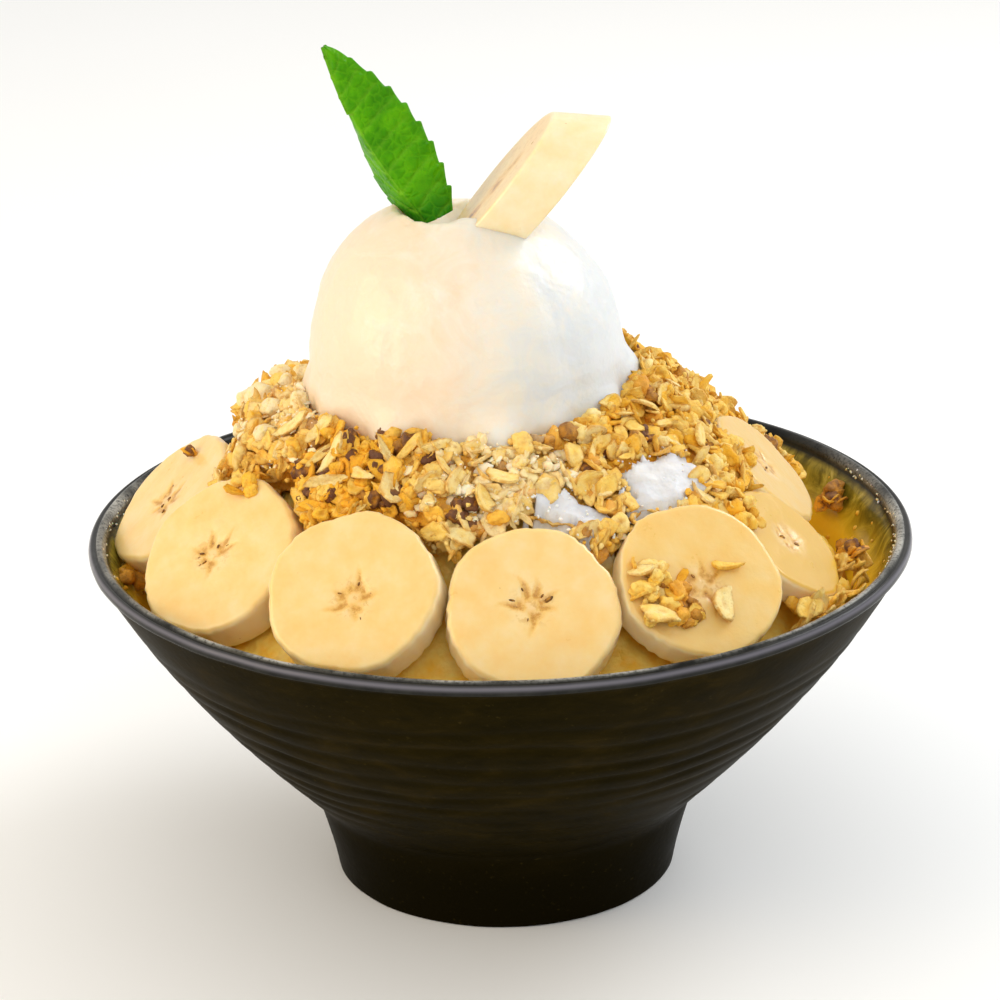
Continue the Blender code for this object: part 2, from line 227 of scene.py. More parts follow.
# ----------------------------------------------------------------------------- materials
class Look:
    """A material, with short calls for the shader nodes that the looks share."""

    def __init__(self, name, **finish):
        self.material = bpy.data.materials.new(name)
        self.material.use_nodes = True
        self.tree = self.material.node_tree
        self.shader = self.tree.nodes["Principled BSDF"]
        self.place = self.add("ShaderNodeTexCoord").outputs["Object"]
        for socket, value in finish.items():
            self.shader.inputs[socket.replace("_", " ")].default_value = value

    def add(self, kind, inputs=(), **settings):
        node = self.tree.nodes.new(kind)
        for name, value in settings.items():
            setattr(node, name, value)
        for socket, value in dict(inputs).items():
            self.feed(node.inputs[socket], value)
        return node

    def feed(self, socket, value):
        if isinstance(value, bpy.types.NodeSocket):
            self.tree.links.new(value, socket)
        else:
            socket.default_value = value

    def noise(self, size, detail=4.0, roughness=0.6, distortion=0.0, place=None):
        """Noise from 0 to 1 with features of a size in metres."""
        inputs = {"Vector": place or self.place, "Scale": 1.0 / size, "Detail": detail,
                  "Roughness": roughness, "Distortion": distortion}
        return self.add("ShaderNodeTexNoise", inputs).outputs["Fac"]

    def cells(self, size, feature="F1", place=None):
        inputs = {"Vector": place or self.place, "Scale": 1.0 / size}
        return self.add("ShaderNodeTexVoronoi", inputs, feature=feature).outputs["Distance"]

    def stretched(self, x, y, z):
        """The place, scaled by three numbers."""
        inputs = {0: self.place, 1: (x, y, z)}
        return self.add("ShaderNodeVectorMath", inputs, operation="MULTIPLY").outputs[0]

    def axis(self, name):
        return self.add("ShaderNodeSeparateXYZ", {0: self.place}).outputs[name]

    def value(self, name):
        """A painted attribute."""
        return self.add("ShaderNodeAttribute", attribute_name=name).outputs["Fac"]

    def maths(self, operation, first, second=0.0):
        inputs = {0: first, 1: second}
        return self.add("ShaderNodeMath", inputs, operation=operation).outputs[0]

    def span(self, value, low, high):
        """0 below low, 1 above high."""
        inputs = {"Value": value, "From Min": low, "From Max": high}
        return self.add("ShaderNodeMapRange", inputs, interpolation_type="SMOOTHSTEP").outputs[0]

    def ramp(self, factor, *stops):
        """Colour by a factor; each stop is (place, (red, green, blue))."""
        node = self.add("ShaderNodeValToRGB", {0: factor})
        band = node.color_ramp
        while len(band.elements) < len(stops):
            band.elements.new(1.0)
        for element, (place, colour) in zip(band.elements, stops):
            element.position = place
            element.color = (*colour, 1.0)
        return node.outputs[0]

    def mix(self, factor, first, second, blend="MIX"):
        """Two colours mixed by a factor."""
        node = self.add("ShaderNodeMix", data_type="RGBA", blend_type=blend)
        self.feed(node.inputs[0], factor)
        for socket, value in ((6, first), (7, second)):
            plain = not isinstance(value, bpy.types.NodeSocket)
            self.feed(node.inputs[socket], (*value, 1.0) if plain else value)
        return node.outputs[2]

    def colour(self, value):
        self.feed(self.shader.inputs["Base Color"], value)

    def roughness(self, factor, low, high):
        inputs = {"Value": factor, "To Min": low, "To Max": high}
        self.feed(self.shader.inputs["Roughness"], self.add("ShaderNodeMapRange", inputs).outputs[0])

    def bump(self, *layers):
        """Relief from (height, distance in metres) layers, one on the other."""
        normal = None
        for height, distance in layers:
            node = self.add("ShaderNodeBump", {"Height": height, "Distance": distance})
            if normal:
                self.feed(node.inputs["Normal"], normal)
            normal = node.outputs["Normal"]
        self.feed(self.shader.inputs["Normal"], normal)


def glaze_look():
    """Dark brown-black glaze with a satin finish, on the bowl's outside, with painted shade darkening it towards the
    foot.
    """
    look = Look("bowl_glaze", Specular_IOR_Level=0.008)
    streaks = look.noise(0.012, 5.0, 0.62, 0.4, look.stretched(1.0, 1.0, 2.6))
    specks = look.noise(0.0011, 2.0, 0.5)
    dark = look.ramp(streaks, (0.30, (0.0075, 0.0054, 0.0006)), (0.55, (0.0130, 0.0088, 0.0009)),
                     (0.80, (0.0260, 0.0165, 0.0022)))
    # painted shade: the glaze colour turns darker towards the foot, where less light falls
    dark = look.mix(look.span(look.axis("Z"), 0.034, 0.008), dark, (0.0052, 0.0038, 0.0006))
    look.colour(look.mix(look.maths("MULTIPLY", look.span(specks, 0.64, 0.82), 0.7), dark, (0.034, 0.024, 0.005)))
    look.roughness(streaks, 0.30, 0.48)
    look.bump((look.noise(0.0016, 3.0, 0.6), 0.00006))
    return look.material


def lining_look():
    """Glossy glaze: thin and near black on the lip with a painted lavender-grey highlight band on its outer curve,
    mottled olive-brown down the inner wall.
    """
    look = Look("bowl_lining", Specular_IOR_Level=0.10)
    pooled = look.noise(0.0075, 6.0, 0.7, 1.2, look.stretched(1.0, 1.0, 0.55))
    inside = look.ramp(pooled, (0.30, (0.045, 0.038, 0.004)), (0.45, (0.16, 0.125, 0.012)),
                       (0.58, (0.38, 0.30, 0.036)), (0.76, (0.66, 0.53, 0.15)))
    lip = look.ramp(look.noise(0.004, 3.0, 0.6), (0.3, (0.007, 0.007, 0.006)), (0.7, (0.022, 0.022, 0.018)))
    # painted highlight: a lavender-grey band on the lip's outer curve stands for the window's reflection
    lip = look.mix(look.maths("MULTIPLY", look.value("lip_highlight"), 0.8), lip, (0.170, 0.163, 0.190))
    inside = look.mix(look.maths("MULTIPLY", look.value("syrup"), 0.85), inside, (1.0, 0.62, 0.020))
    base = look.mix(look.value("lip"), inside, lip)
    grainy = look.span(look.noise(0.0007, 3.0, 0.7), 0.25, 0.60)
    look.colour(look.mix(look.maths("MULTIPLY", grainy, look.value("rime")), base, (0.42, 0.41, 0.37)))
    look.roughness(pooled, 0.10, 0.26)
    look.bump((look.noise(0.0030, 3.0, 0.5), 0.00003))
    return look.material


def snow_look():
    """Shaved ice: white, a little translucent, stained where syrup has soaked in."""
    look = Look("ice", Subsurface_Weight=0.45, Subsurface_Scale=0.004, Roughness=0.55)
    look.shader.inputs["Subsurface Radius"].default_value = (1.0, 0.8, 0.6)
    soaked = look.noise(0.010, 4.0, 0.6)
    white = look.ramp(soaked, (0.40, (0.70, 0.71, 0.745)), (0.72, (0.74, 0.72, 0.69)))
    syrup = look.ramp(look.noise(0.005, 3.0, 0.6), (0.3, (0.95, 0.50, 0.015)), (0.7, (1.0, 0.77, 0.20)))
    look.colour(look.mix(look.value("syrup"), white, syrup))
    look.roughness(look.noise(0.0012, 3.0), 0.3, 0.7)
    look.bump((look.cells(0.0012), 0.00016), (look.noise(0.0006, 3.0, 0.7), 0.00010))
    return look.material


def frost_look():
    """Loose crystals of snow, too small for relief: white to pale cream from grain to grain."""
    look = Look("frost", Roughness=0.5, Subsurface_Weight=0.2, Subsurface_Scale=0.001)
    look.colour(look.ramp(look.value("tint"), (0.1, (0.86, 0.86, 0.86)), (0.5, (0.93, 0.82, 0.60)),
                          (1.0, (0.98, 0.74, 0.34))))
    look.roughness(look.noise(0.0006, 2.0), 0.3, 0.6)
    look.bump((look.noise(0.0007, 3.0, 0.65), 0.00012))
    return look.material


def oat_look(name, *stops):
    """Toasted oats: pale to brown by each one's tint, flecked with bran, darker at toasted edges and with painted
    shade in the hollows of lumps, and dusted with snow.
    """
    look = Look(name, Specular_IOR_Level=0.3)
    patchy = look.noise(0.0020, 4.0, 0.68)
    shade = look.maths("ADD", look.value("tint"), look.maths("MULTIPLY", look.maths("SUBTRACT", patchy, 0.5), 0.75))
    base = look.ramp(shade, *stops)
    flecks = look.span(look.noise(0.0006, 2.0, 0.6), 0.62, 0.76)
    base = look.mix(look.maths("MULTIPLY", flecks, 0.40), base, (0.45, 0.20, 0.030))
    # darker brown by the rim attribute: toasted edges on flakes, painted shade in the hollows of lumps and seeds,
    # random darker patches on the core
    toasted_edges_and_hollow_shade = look.maths("MULTIPLY", look.value("rim"), look.span(look.noise(0.0013, 3.0, 0.6), 0.30, 0.62))
    base = look.mix(look.maths("MULTIPLY", toasted_edges_and_hollow_shade, 0.75), base, (0.70, 0.30, 0.018))
    melt = look.maths("MULTIPLY", look.value("frost"), look.span(look.noise(0.0016, 4.0, 0.7), 0.34, 0.56))
    look.colour(look.mix(melt, base, (0.99, 0.84, 0.53)))
    look.roughness(patchy, 0.30, 0.66)
    look.bump((look.noise(0.0010, 4.0, 0.7), 0.0006), (look.noise(0.0003, 2.0, 0.6), 0.00012))
    return look.material


def banana_look(name):
    """Cut banana: a pale, wet face with a golden, seeded heart, and fibrous sides."""
    look = Look(name, Subsurface_Weight=0.35, Subsurface_Scale=0.003, Roughness=0.34,
                Coat_Weight=0.25, Coat_Roughness=0.12)
    look.shader.inputs["Subsurface Radius"].default_value = (1.0, 0.62, 0.28)
    cloud = look.noise(0.006, 4.0, 0.55)
    face = look.ramp(cloud, (0.30, (0.86, 0.560, 0.180)), (0.52, (0.86, 0.615, 0.245)), (0.74, (0.86, 0.665, 0.330)))
    face = look.mix(look.value("gold"), face, (0.69, 0.41, 0.040))
    side = look.ramp(look.noise(0.004, 4.0, 0.6), (0.25, (0.91, 0.70, 0.36)), (0.75, (0.92, 0.80, 0.55)))
    body = look.mix(look.value("side"), face, side)
    heart = look.value("heart")
    core = look.maths("MULTIPLY", heart, look.span(look.noise(0.0024, 3.0, 0.6), 0.30, 0.62))
    body = look.mix(look.maths("MULTIPLY", core, 0.8), body, (0.84, 0.62, 0.31))
    blots = look.maths("MULTIPLY", heart, look.span(look.noise(0.0017, 3.0, 0.7, 0.8), 0.49, 0.64))
    body = look.mix(look.maths("MULTIPLY", blots, 0.85), body, (0.60, 0.33, 0.060))
    body = look.mix(look.maths("MULTIPLY", look.span(heart, 0.80, 1.0), 0.35), body, (0.80, 0.50, 0.17))
    ragged = look.maths("MULTIPLY", look.maths("SUBTRACT", look.noise(0.0009, 4.0, 0.8), 0.5), 2.2)
    arms = look.maths("ADD", look.value("star"), look.maths("MULTIPLY", ragged, look.value("star")))
    body = look.mix(look.maths("MULTIPLY", look.span(arms, 0.02, 0.42), 0.70), body, (0.80, 0.48, 0.10))
    body = look.mix(look.maths("MULTIPLY", look.span(arms, 0.34, 0.85), 0.90), body, (0.56, 0.26, 0.022))
    body = look.mix(look.span(arms, 0.86, 1.30), body, (0.17, 0.075, 0.018))
    dots = look.span(look.noise(0.0011, 1.0, 0.4), 0.80, 0.86)
    look.colour(look.mix(look.maths("MULTIPLY", dots, 0.5), body, (0.45, 0.24, 0.06)))
    look.roughness(cloud, 0.22, 0.40)
    look.bump((look.noise(0.0012, 4.0, 0.6), 0.00007), (look.noise(0.004, 2.0, 0.5), 0.00012))
    return look.material


def cream_look():
    """Melting vanilla ice cream: near white, glossy where it has melted, with painted light that tints it warm peach
    on the left and cool blue-grey on the right.
    """
    look = Look("cream", Subsurface_Weight=0.5, Subsurface_Scale=0.005, Roughness=0.3,
                Coat_Weight=0.20, Coat_Roughness=0.16)
    look.shader.inputs["Subsurface Radius"].default_value = (1.0, 0.75, 0.5)
    # painted light: the melt attribute runs from left to right, taking the colour from warm-lit peach to cool-lit
    # blue-grey, broken up by noise
    side_light_and_churn = look.maths("ADD", look.value("melt"), look.maths("SUBTRACT", look.noise(0.010, 5.0, 0.65, 1.2), 0.5))
    look.colour(look.ramp(side_light_and_churn, (0.10, (0.85, 0.685, 0.50)), (0.40, (0.845, 0.755, 0.615)),
                          (0.62, (0.79, 0.765, 0.69)), (0.85, (0.70, 0.725, 0.735))))
    look.roughness(look.noise(0.008, 3.0), 0.30, 0.52)
    look.bump((look.noise(0.0022, 4.0, 0.55), 0.00022), (look.noise(0.009, 2.0, 0.5, 0.8), 0.0007))
    return look.material


def mint_look():
    """Fresh mint: bright green, paler along its veins and yellower between them."""
    look = Look("mint", Subsurface_Weight=0.15, Subsurface_Scale=0.0015, Roughness=0.42,
                Specular_IOR_Level=0.08)
    look.shader.inputs["Subsurface Radius"].default_value = (0.3, 1.0, 0.1)
    blotch = look.noise(0.005, 4.0, 0.6)
    green = look.ramp(blotch, (0.30, (0.036, 0.21, 0.0)), (0.55, (0.075, 0.315, 0.0)),
                      (0.80, (0.135, 0.41, 0.0)))
    green = look.mix(look.value("low"), green, (0.012, 0.15, 0.003))
    warped = look.add("ShaderNodeTexNoise", {"Vector": look.place, "Scale": 500.0}).outputs["Color"]
    warped = look.add("ShaderNodeVectorMath", {0: warped, 1: (0.0012, 0.0012, 0.0012)}, operation="MULTIPLY")
    warped = look.add("ShaderNodeVectorMath", {0: look.place, 1: warped.outputs[0]}, operation="ADD").outputs[0]
    quilt = look.cells(0.0024, "DISTANCE_TO_EDGE", warped)
    green = look.mix(look.maths("MULTIPLY", look.span(quilt, 0.12, 0.02), 0.10), green, (0.20, 0.50, 0.010))
    green = look.mix(look.maths("MULTIPLY", look.span(quilt, 0.05, 0.40), 0.14), green, (0.030, 0.20, 0.0))
    green = look.mix(look.maths("MULTIPLY", look.value("vein"), 0.60), green, (0.24, 0.52, 0.030))
    look.colour(look.mix(look.value("edge"), green, (0.08, 0.30, 0.01)))
    look.roughness(blotch, 0.34, 0.5)
    look.bump((look.span(quilt, 0.0, 0.30), 0.00020), (look.noise(0.0008, 3.0), 0.00008))
    return look.material


# ---------------------------------------------------------------------------------- bowl
def bowl_profile():
    """(radius, height, inside, lip, bead) from the middle of the underside to the inner floor."""
    rows = [(r, 0.0026, 0.0, 0.0, 0.0) for r in (0.006, 0.012, 0.018, 0.024, 0.0275)]
    foot = [(0.0288, 0.0018), (0.0295, 0.0006), (0.0301, 0.0), (0.0325, 0.0), (0.0354, 0.0),
            (0.0359, 0.0003)]
    foot += bezier((FOOT_RADIUS, 0.0007), (0.0368, 0.0055), (0.0388, 0.0125), (0.0399, 0.0160), 14)
    foot += bezier((0.0399, 0.0160), (0.0404, 0.0178), (0.0412, 0.0188), (0.0426, 0.0200), 6)[1:]
    foot += bezier((0.0426, 0.0200), (0.0606, 0.0380), (0.0741, 0.0545), (0.0840, 0.0731), 96)[1:]
    rows += [(r, z, 0.0, 0.0, 0.0) for r, z in foot]
    middle = RIM_RADIUS - LIP_RADIUS
    for step in range(LIP_STEPS + 1):
        degrees = -18.0 + 200.0 * step / LIP_STEPS
        turn = math.radians(degrees)
        reach = LIP_RADIUS - LIP_GROOVE * bell(degrees - 70.0, 14.0)
        height = BOWL_HEIGHT - LIP_RADIUS + reach * math.sin(turn)
        # share of the painted highlight band on the lip's outer curve
        lip_highlight = bell(degrees - 26.0, 15.0)
        rows.append((middle + reach * math.cos(turn), height, smoothstep(130, 182, degrees), 1.0, lip_highlight))
    wall = bezier((0.0812, 0.0735), (0.0715, 0.0570), (0.0560, 0.0380), (0.0370, 0.0175), 44)
    for r, z in wall + [(0.0290, 0.0140), (0.0150, 0.0131)]:
        rows.append((r, z, 1.0, smoothstep(0.0722, 0.0736, z), 0.0))
    return rows


def ridge(azimuth, height):
    """Depth share of the throwing rings, which wander, fade and return round the belly."""
    turn = math.radians(azimuth)
    spot = Vector((1.7 * math.cos(turn), 1.7 * math.sin(turn), 60.0 * height))
    wander = 0.42 * rough(spot, 1.0, 2)
    wave = math.cos(math.tau * (height / RIDGE_SPACING + wander + 0.08 * math.sin(turn)))
    crest = (0.5 + 0.5 * wave) ** 2.4
    strength = 0.55 + 0.95 * rough(spot * 1.3 + Vector((7.0, 3.0, 1.0)), 1.0, 2)
    band = smoothstep(0.021, 0.027, height) * (1.0 - smoothstep(0.056, 0.068, height))
    return crest * max(0.04, strength) * band


def make_bowl(glaze, lining):
    columns = 200
    profile = bowl_profile()
    rings = []
    inside = []
    lip = []
    lip_highlight = []
    lean = Vector((0.789, -0.615))
    for radius, height, within, rolled, highlight_share in profile:
        ring = []
        for step in range(columns):
            azimuth = 360.0 * step / columns
            spot = on_circle(azimuth, radius, height)
            push = 0.00010 * rough(spot, 0.012, 2) * smoothstep(0.030, 0.034, radius)
            if within < 0.5 and radius > 0.041:
                push -= RIDGE_DEPTH * ridge(azimuth, height)
            if within > 0.5:
                push = -0.00025 * math.cos(math.tau * height / 0.0065) * (1.0 - rolled)
                push += 0.00015 * rough(spot, 0.006, 2)
            ring.append(on_circle(azimuth, radius + push * lean.x, height + push * lean.y))
            inside.append(within)
            lip.append(rolled)
            lip_highlight.append(highlight_share)
        rings.append(ring)
    bottom = Vector((0.0, 0.0, profile[0][1]))
    top = Vector((0.0, 0.0, 0.0130))
    mesh = ring_mesh("bowl_thrown", rings, bottom, top)
    lip = [0.0] + lip + [0.0]
    inside = [0.0] + inside + [1.0]
    rime = []
    syrup = []
    for vertex in mesh.vertices:
        place = vertex.co.copy()
        inner = smoothstep(RIM_RADIUS - 0.0014, RIM_RADIUS - 0.0019, math.hypot(place.x, place.y))
        above = smoothstep(BOWL_HEIGHT - 0.0024, BOWL_HEIGHT - 0.0012, place.z)
        near = smoothstep(0.055, 0.010, place.y)
        rime.append(near * inner * above * max(0.0, 0.60 + 0.9 * rough(place, 0.012, 3)))
        syrup.append(smoothstep(0.0705 + 0.003 * rough(place, 0.010, 2), 0.0630, place.z))
    paint(mesh, "lip", lip)
    paint(mesh, "syrup", syrup)
    # painted highlight: where the lining's colour turns to the lavender-grey reflection band
    paint(mesh, "lip_highlight", [0.0] + lip_highlight + [0.0])
    paint(mesh, "rime", rime)
    item = add_piece("bowl_thrown", mesh, glaze, "bowl_glaze", "bowl")
    mesh.materials.append(lining)
    for face in mesh.polygons:
        face.material_index = min(inside[k] + lip[k] for k in face.vertices) > 0.5
    return item


# ------------------------------------------------------------------------------ snow
def snow_share(point):
    """How far a place lies in a patch of bare snow, from 0 to 1."""
    most = 0.0
    wobble = 0.42 * rough(point, 0.0045, 3)
    for azimuth, distance, half_length, half_depth in SNOW_PATCHES:
        middle = on_circle(azimuth, distance)
        out = middle.xy.normalized()
        offset = Vector((point.x, point.y)) - middle.xy
        across = offset.dot(out) / half_depth
        along = (offset.y * out.x - offset.x * out.y) / half_length
        most = max(most, 1.0 - smoothstep(0.75, 1.25, math.hypot(across, along) + wobble))
    return most


def bank_of_snow(place):
    """How far the snow of a bare patch rises towards the oats' level, stopping at a slice."""
    bare = snow_share(place)
    if bare == 0.0 or place.z < 0.0635:
        return 0.0
    oats = straight_down(field.oats, place.x, place.y)[0]
    goal = smoothstep(0.0, 0.45, bare) * (oats.z - 0.0005 - place.z) if oats else 0.0
    step = 0.0004
    rise = 0.0
    while rise < goal and not field.in_slice(place + Vector((0.0, 0.0, rise + 2 * step)), step):
        rise += step
    return max(0.0, min(rise, goal))


def make_snow(snow):
    mesh = remeshed("snow", "shaved_ice", SNOW_VOXEL)

    def fluff(point, normal):
        return smoothstep(0.0605, 0.0635, point.z) * (0.0004 + 0.0007 * rough(point, 0.0035, 4))

    places = push_out(mesh, fluff)
    for vertex, place in zip(mesh.vertices, places):
        vertex.co.z += bank_of_snow(place)
    paint(mesh, "syrup", [1.0 - smoothstep(0.0, 0.35, snow_share(place)) for place in places])
    return add_piece("snow", mesh, snow, "ice", "shaved_ice")


# ---------------------------------------------------------------------------- scattering
class Heap:
    """Many small closed shapes, gathered into one piece."""

    def __init__(self, name):
        self.name = name
        self.verts = []
        self.faces = []
        self.tints = []
        self.frosts = []
        self.toast_and_hollow_shade = []
        self.count = 0

    def drop(self, shape, matrix, tint, frost=0.0):
        points, faces, toast_and_hollow_shade = shape
        placed = points @ np.array(matrix.to_3x3()).T + np.array(matrix.translation)
        self.verts.append(placed)
        self.faces.append(faces + self.count)
        self.tints.append(np.full(len(points), tint))
        self.frosts.append(np.full(len(points), frost))
        self.toast_and_hollow_shade.append(toast_and_hollow_shade)
        self.count += len(points)

    def finish(self, material, slot, *nodes):
        verts = np.concatenate(self.verts)
        faces = np.concatenate(self.faces)
        mesh = bpy.data.meshes.new(self.name)
        mesh.from_pydata(verts, [], faces.tolist())
        mesh.shade_smooth()
        paint(mesh, "tint", np.concatenate(self.tints))
        paint(mesh, "frost", np.concatenate(self.frosts))
        # darker share of each point: toasted edges, and painted shade in the hollows of lumps
        paint(mesh, "rim", np.concatenate(self.toast_and_hollow_shade))
        return add_piece(self.name, mesh, material, slot, *nodes)


def shape_from(bm, toast_and_hollow_shade):
    """A bmesh as (points, triangles, darker share at each point) arrays: toasted edges on flakes, painted shade in the
    hollows of lumps.
    """
    bmesh.ops.triangulate(bm, faces=bm.faces)
    bm.verts.index_update()
    points = np.array([tuple(vert.co) for vert in bm.verts])
    faces = np.array([[vert.index for vert in face.verts] for face in bm.faces])
    bm.free()
    return points, faces, np.array(toast_and_hollow_shade)


def flake_shape(rng, slim=1.0):
    """An oat rolled flat, one unit long: ragged, curled and creased along one side."""
    sides = 12
    ragged = [1.0 + rng.uniform(-0.24, 0.10) for _ in range(sides)]
    curl = rng.uniform(-0.55, 0.75)
    cup = rng.uniform(-0.5, 0.7)
    twist = rng.uniform(-0.9, 0.9)
    thick = rng.uniform(0.055, 0.085)
    width = slim * rng.uniform(0.54, 0.80)
    crease = rng.uniform(0.02, 0.07)

    def lift(x, y, level, share):
        body = curl * x * x + cup * y * y + twist * x * y
        groove = crease * bell(y, 0.09) if level > 0 else 0.0
        return body + level * thick * (1.0 - 0.55 * share ** 4) - groove

    rings = []
    toast_and_hollow_shade = [0.2]
    for level, share, rim in ((-1, 0.55, 0.3), (-1, 0.96, 1.0), (1, 0.96, 1.0), (1, 0.76, 0.25), (1, 0.40, 0.0)):
        toast_and_hollow_shade += [rim] * sides
        ring = []
        for step in range(sides):
            turn = math.tau * step / sides
            reach = 0.5 * share * (ragged[step] if share > 0.7 else 1.0)
            x = reach * math.cos(turn)
            y = reach * math.sin(turn) * width
            ring.append(Vector((x, y, lift(x, y, level, share))))
        rings.append(ring)
    mesh = ring_mesh("flake", rings, Vector((0, 0, -thick)), Vector((0, 0, thick - crease)))
    bm = bmesh.new()
    bm.from_mesh(mesh)
    bpy.data.meshes.remove(mesh)
    # the top point, in the middle of the crease, gets a darker share too
    return shape_from(bm, toast_and_hollow_shade + [0.7])


def lump_shape(rng, detail, strength):
    """A rounded, knobbly crumb, one unit across."""
    bm = bmesh.new()
    bmesh.ops.create_icosphere(bm, subdivisions=detail, radius=0.5)
    shift = Vector([rng.uniform(-50.0, 50.0) for _ in range(3)])
    squeeze = Vector((rng.uniform(0.8, 1.15), rng.uniform(0.7, 1.0), rng.uniform(0.55, 0.85)))
    toast_and_hollow_shade = []
    for vert in bm.verts:
        bulge = rough(vert.co + shift, 0.45, 3)
        vert.co = Vector([part * size * (1.0 + strength * bulge) for part, size in zip(vert.co, squeeze)])
        # dents get a darker share: painted shade in the hollows
        toast_and_hollow_shade.append(smoothstep(0.15, -0.40, bulge))
    return shape_from(bm, toast_and_hollow_shade)


class Field:
    """The granola's surface and what stands on it."""

    def __init__(self):
        self.oats = surface_of("granola")
        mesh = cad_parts["granola"].data
        mesh.calc_loop_triangles()
        self.triangles = [[mesh.vertices[k].co.copy() for k in part.vertices] for part in mesh.loop_triangles]
        self.normals = [part.normal.copy() for part in mesh.loop_triangles]
        self.sums = np.cumsum([part.area for part in mesh.loop_triangles])
        self.ground = surface_of("granola", "shaved_ice")
        self.slices = [SliceFrame(name) for name in SLICE_NODES]

    def anywhere(self, rng):
        """A place on the granola's surface, evenly by area, as (point, normal)."""
        pick = int(np.searchsorted(self.sums, rng.random() * self.sums[-1]))
        first, second, third = self.triangles[pick]
        far = math.sqrt(rng.random())
        along = rng.random()
        point = first * (1.0 - far) + second * far * (1.0 - along) + third * far * along
        return point, self.normals[pick]

    def in_cream(self, point, margin):
        offset = point - SCOOP_CENTRE
        if offset.length < SCOOP_RADIUS + margin:
            return True
        low = SCOOP_BASE < point.z < SCOOP_BASE + 0.009
        return low and math.hypot(offset.x, offset.y) < 0.0336 + margin

    def in_slice(self, point, margin):
        return any(piece.holds(point, margin) for piece in self.slices)

    def clear(self, point, cream=0.0, banana=0.0):
        return not self.in_cream(point, cream) and not self.in_slice(point, banana)


def toasting(point):
    """Tint of the oats at a place: dark at the front left, gold on the right and behind."""
    azimuth = azimuth_of(point)
    radius = math.hypot(point.x, point.y)
    dark = bell(angle_between(azimuth, 232.0), 24.0) * bell(radius - 0.046, 0.012)
    pale = bell(angle_between(azimuth, 276.0), 22.0)
    left = bell(angle_between(azimuth, 196.0), 24.0)
    return 0.38 + 0.26 * dark - 0.14 * pale - 0.08 * left + 0.16 * rough(point, 0.008, 2)


def dusting(point):
    """Share of snow or melted cream that clings to the oats at a place."""
    azimuth = azimuth_of(point)
    radius = math.hypot(point.x, point.y)
    front = 0.55 * bell(angle_between(azimuth, 274.0), 17.0) * bell(radius - 0.045, 0.010)
    left = 0.60 * bell(angle_between(azimuth, 196.0), 16.0) * bell(radius - 0.041, 0.008)
    return max(front, left, 0.6 * snow_share(point))


# -------------------------------------------------------------------------------- slices
SLICE_NODES = sorted(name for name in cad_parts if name.startswith("banana_slice_"))


class SliceFrame:
    """Where a banana slice lies, read from its CAD node: face centre, axes and size."""

    def __init__(self, name):
        self.name = name
        self.number = int(name[-2:])
        points = np.array([vertex.co[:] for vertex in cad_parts[name].data.vertices])
        middle = (points.max(0) + points.min(0)) / 2
        spread = points - middle
        axes = np.linalg.eigh(spread.T @ spread)[1]
        normal = axes[:, 0] * np.sign(axes[2, 0])
        depth = spread @ normal
        self.normal = Vector(normal)
        self.down = (self.normal * self.normal.z - Vector((0, 0, 1))).normalized()
        self.side = self.normal.cross(self.down)
        self.thickness = float(depth.max() - depth.min())
        flat = points - np.outer(depth, normal)
        centre = (flat.max(0) + flat.min(0)) / 2
        self.face = Vector(centre) + self.normal * self.thickness / 2
        self.radius = float(np.abs((flat - centre) @ np.array(self.side)).max())

    def matrix(self):
        turned = Matrix((self.down, self.side, self.normal)).transposed().to_4x4()
        return Matrix.Translation(self.face) @ turned

    def holds(self, point, margin):
        offset = point - self.face
        depth = -offset.dot(self.normal)
        across = (offset + self.normal * depth).length
        return across < self.radius + margin and -margin < depth < self.thickness + margin

    def spot(self, up, right, lift=0.0):
        """World point on the face, from millimetres up the face and to its right."""
        return self.face - self.down * up / 1000 + self.side * right / 1000 + self.normal * lift


def slice_outline(turn, phase):
    """Share of the radius at an angle: round with five soft sides."""
    soft = 0.016 * math.cos(5.0 * (turn - phase)) + 0.014 * math.cos(2.0 * turn + 3.0 * phase)
    return 1.0 + soft + 0.007 * math.cos(9.0 * turn + 5.0 * phase)


# Heart of the slices that show theirs: millimetres up and right of the face's middle, then
# the arms of its star as (degrees from straight up towards the right, length in millimetres).
HEARTS = {
    2: (-0.2, -1.2, ((25, 8.5), (60, 7.5), (165, 7.0), (215, 4.5), (262, 6.0), (325, 7.0))),
    3: (-1.4, 0.8, ((5, 8.0), (75, 6.0), (170, 6.0), (235, 8.0), (280, 5.5), (330, 4.0))),
    4: (0.8, -0.3, ((20, 7.0), (70, 7.5), (110, 6.0), (182, 8.0), (268, 8.5), (338, 8.5))),
    5: (-1.0, -0.5, ((20, 7.5), (75, 8.0), (172, 11.5), (250, 8.0), (320, 6.5))),
    6: (0.6, 0.4, ((10, 5.5), (130, 6.0), (245, 5.0))),
}

# Seeds as millimetres up and right of the same middle, and their length in millimetres.
SEEDS = {
    2: ((-0.6, -2.4, 1.3), (1.8, 0.4, 1.0), (2.6, 2.6, 1.1), (-2.2, -0.8, 1.0), (-1.6, -2.6, 0.9),
        (0.4, 3.4, 0.9), (-3.0, -1.4, 0.8)),
    3: ((-4.0, 2.2, 1.3), (-2.6, 2.8, 0.9), (3.0, 0.4, 0.9), (1.4, 3.2, 0.8), (-1.6, -3.8, 0.9),
        (0.8, -3.0, 0.8)),
    4: ((1.2, -3.8, 1.5), (1.0, 3.4, 2.0), (0.6, 4.6, 1.1), (3.4, -1.6, 0.9), (-3.0, -1.0, 1.0),
        (-6.4, -0.8, 1.0), (1.8, 2.2, 0.9)),
    5: ((2.0, -1.0, 1.1), (-1.5, 2.6, 1.0)),
    6: ((1.0, -0.9, 1.6), (-2.2, 1.3, 1.7)),
    7: ((0.6, -4.2, 1.5), (0.2, -1.8, 1.1)),
}


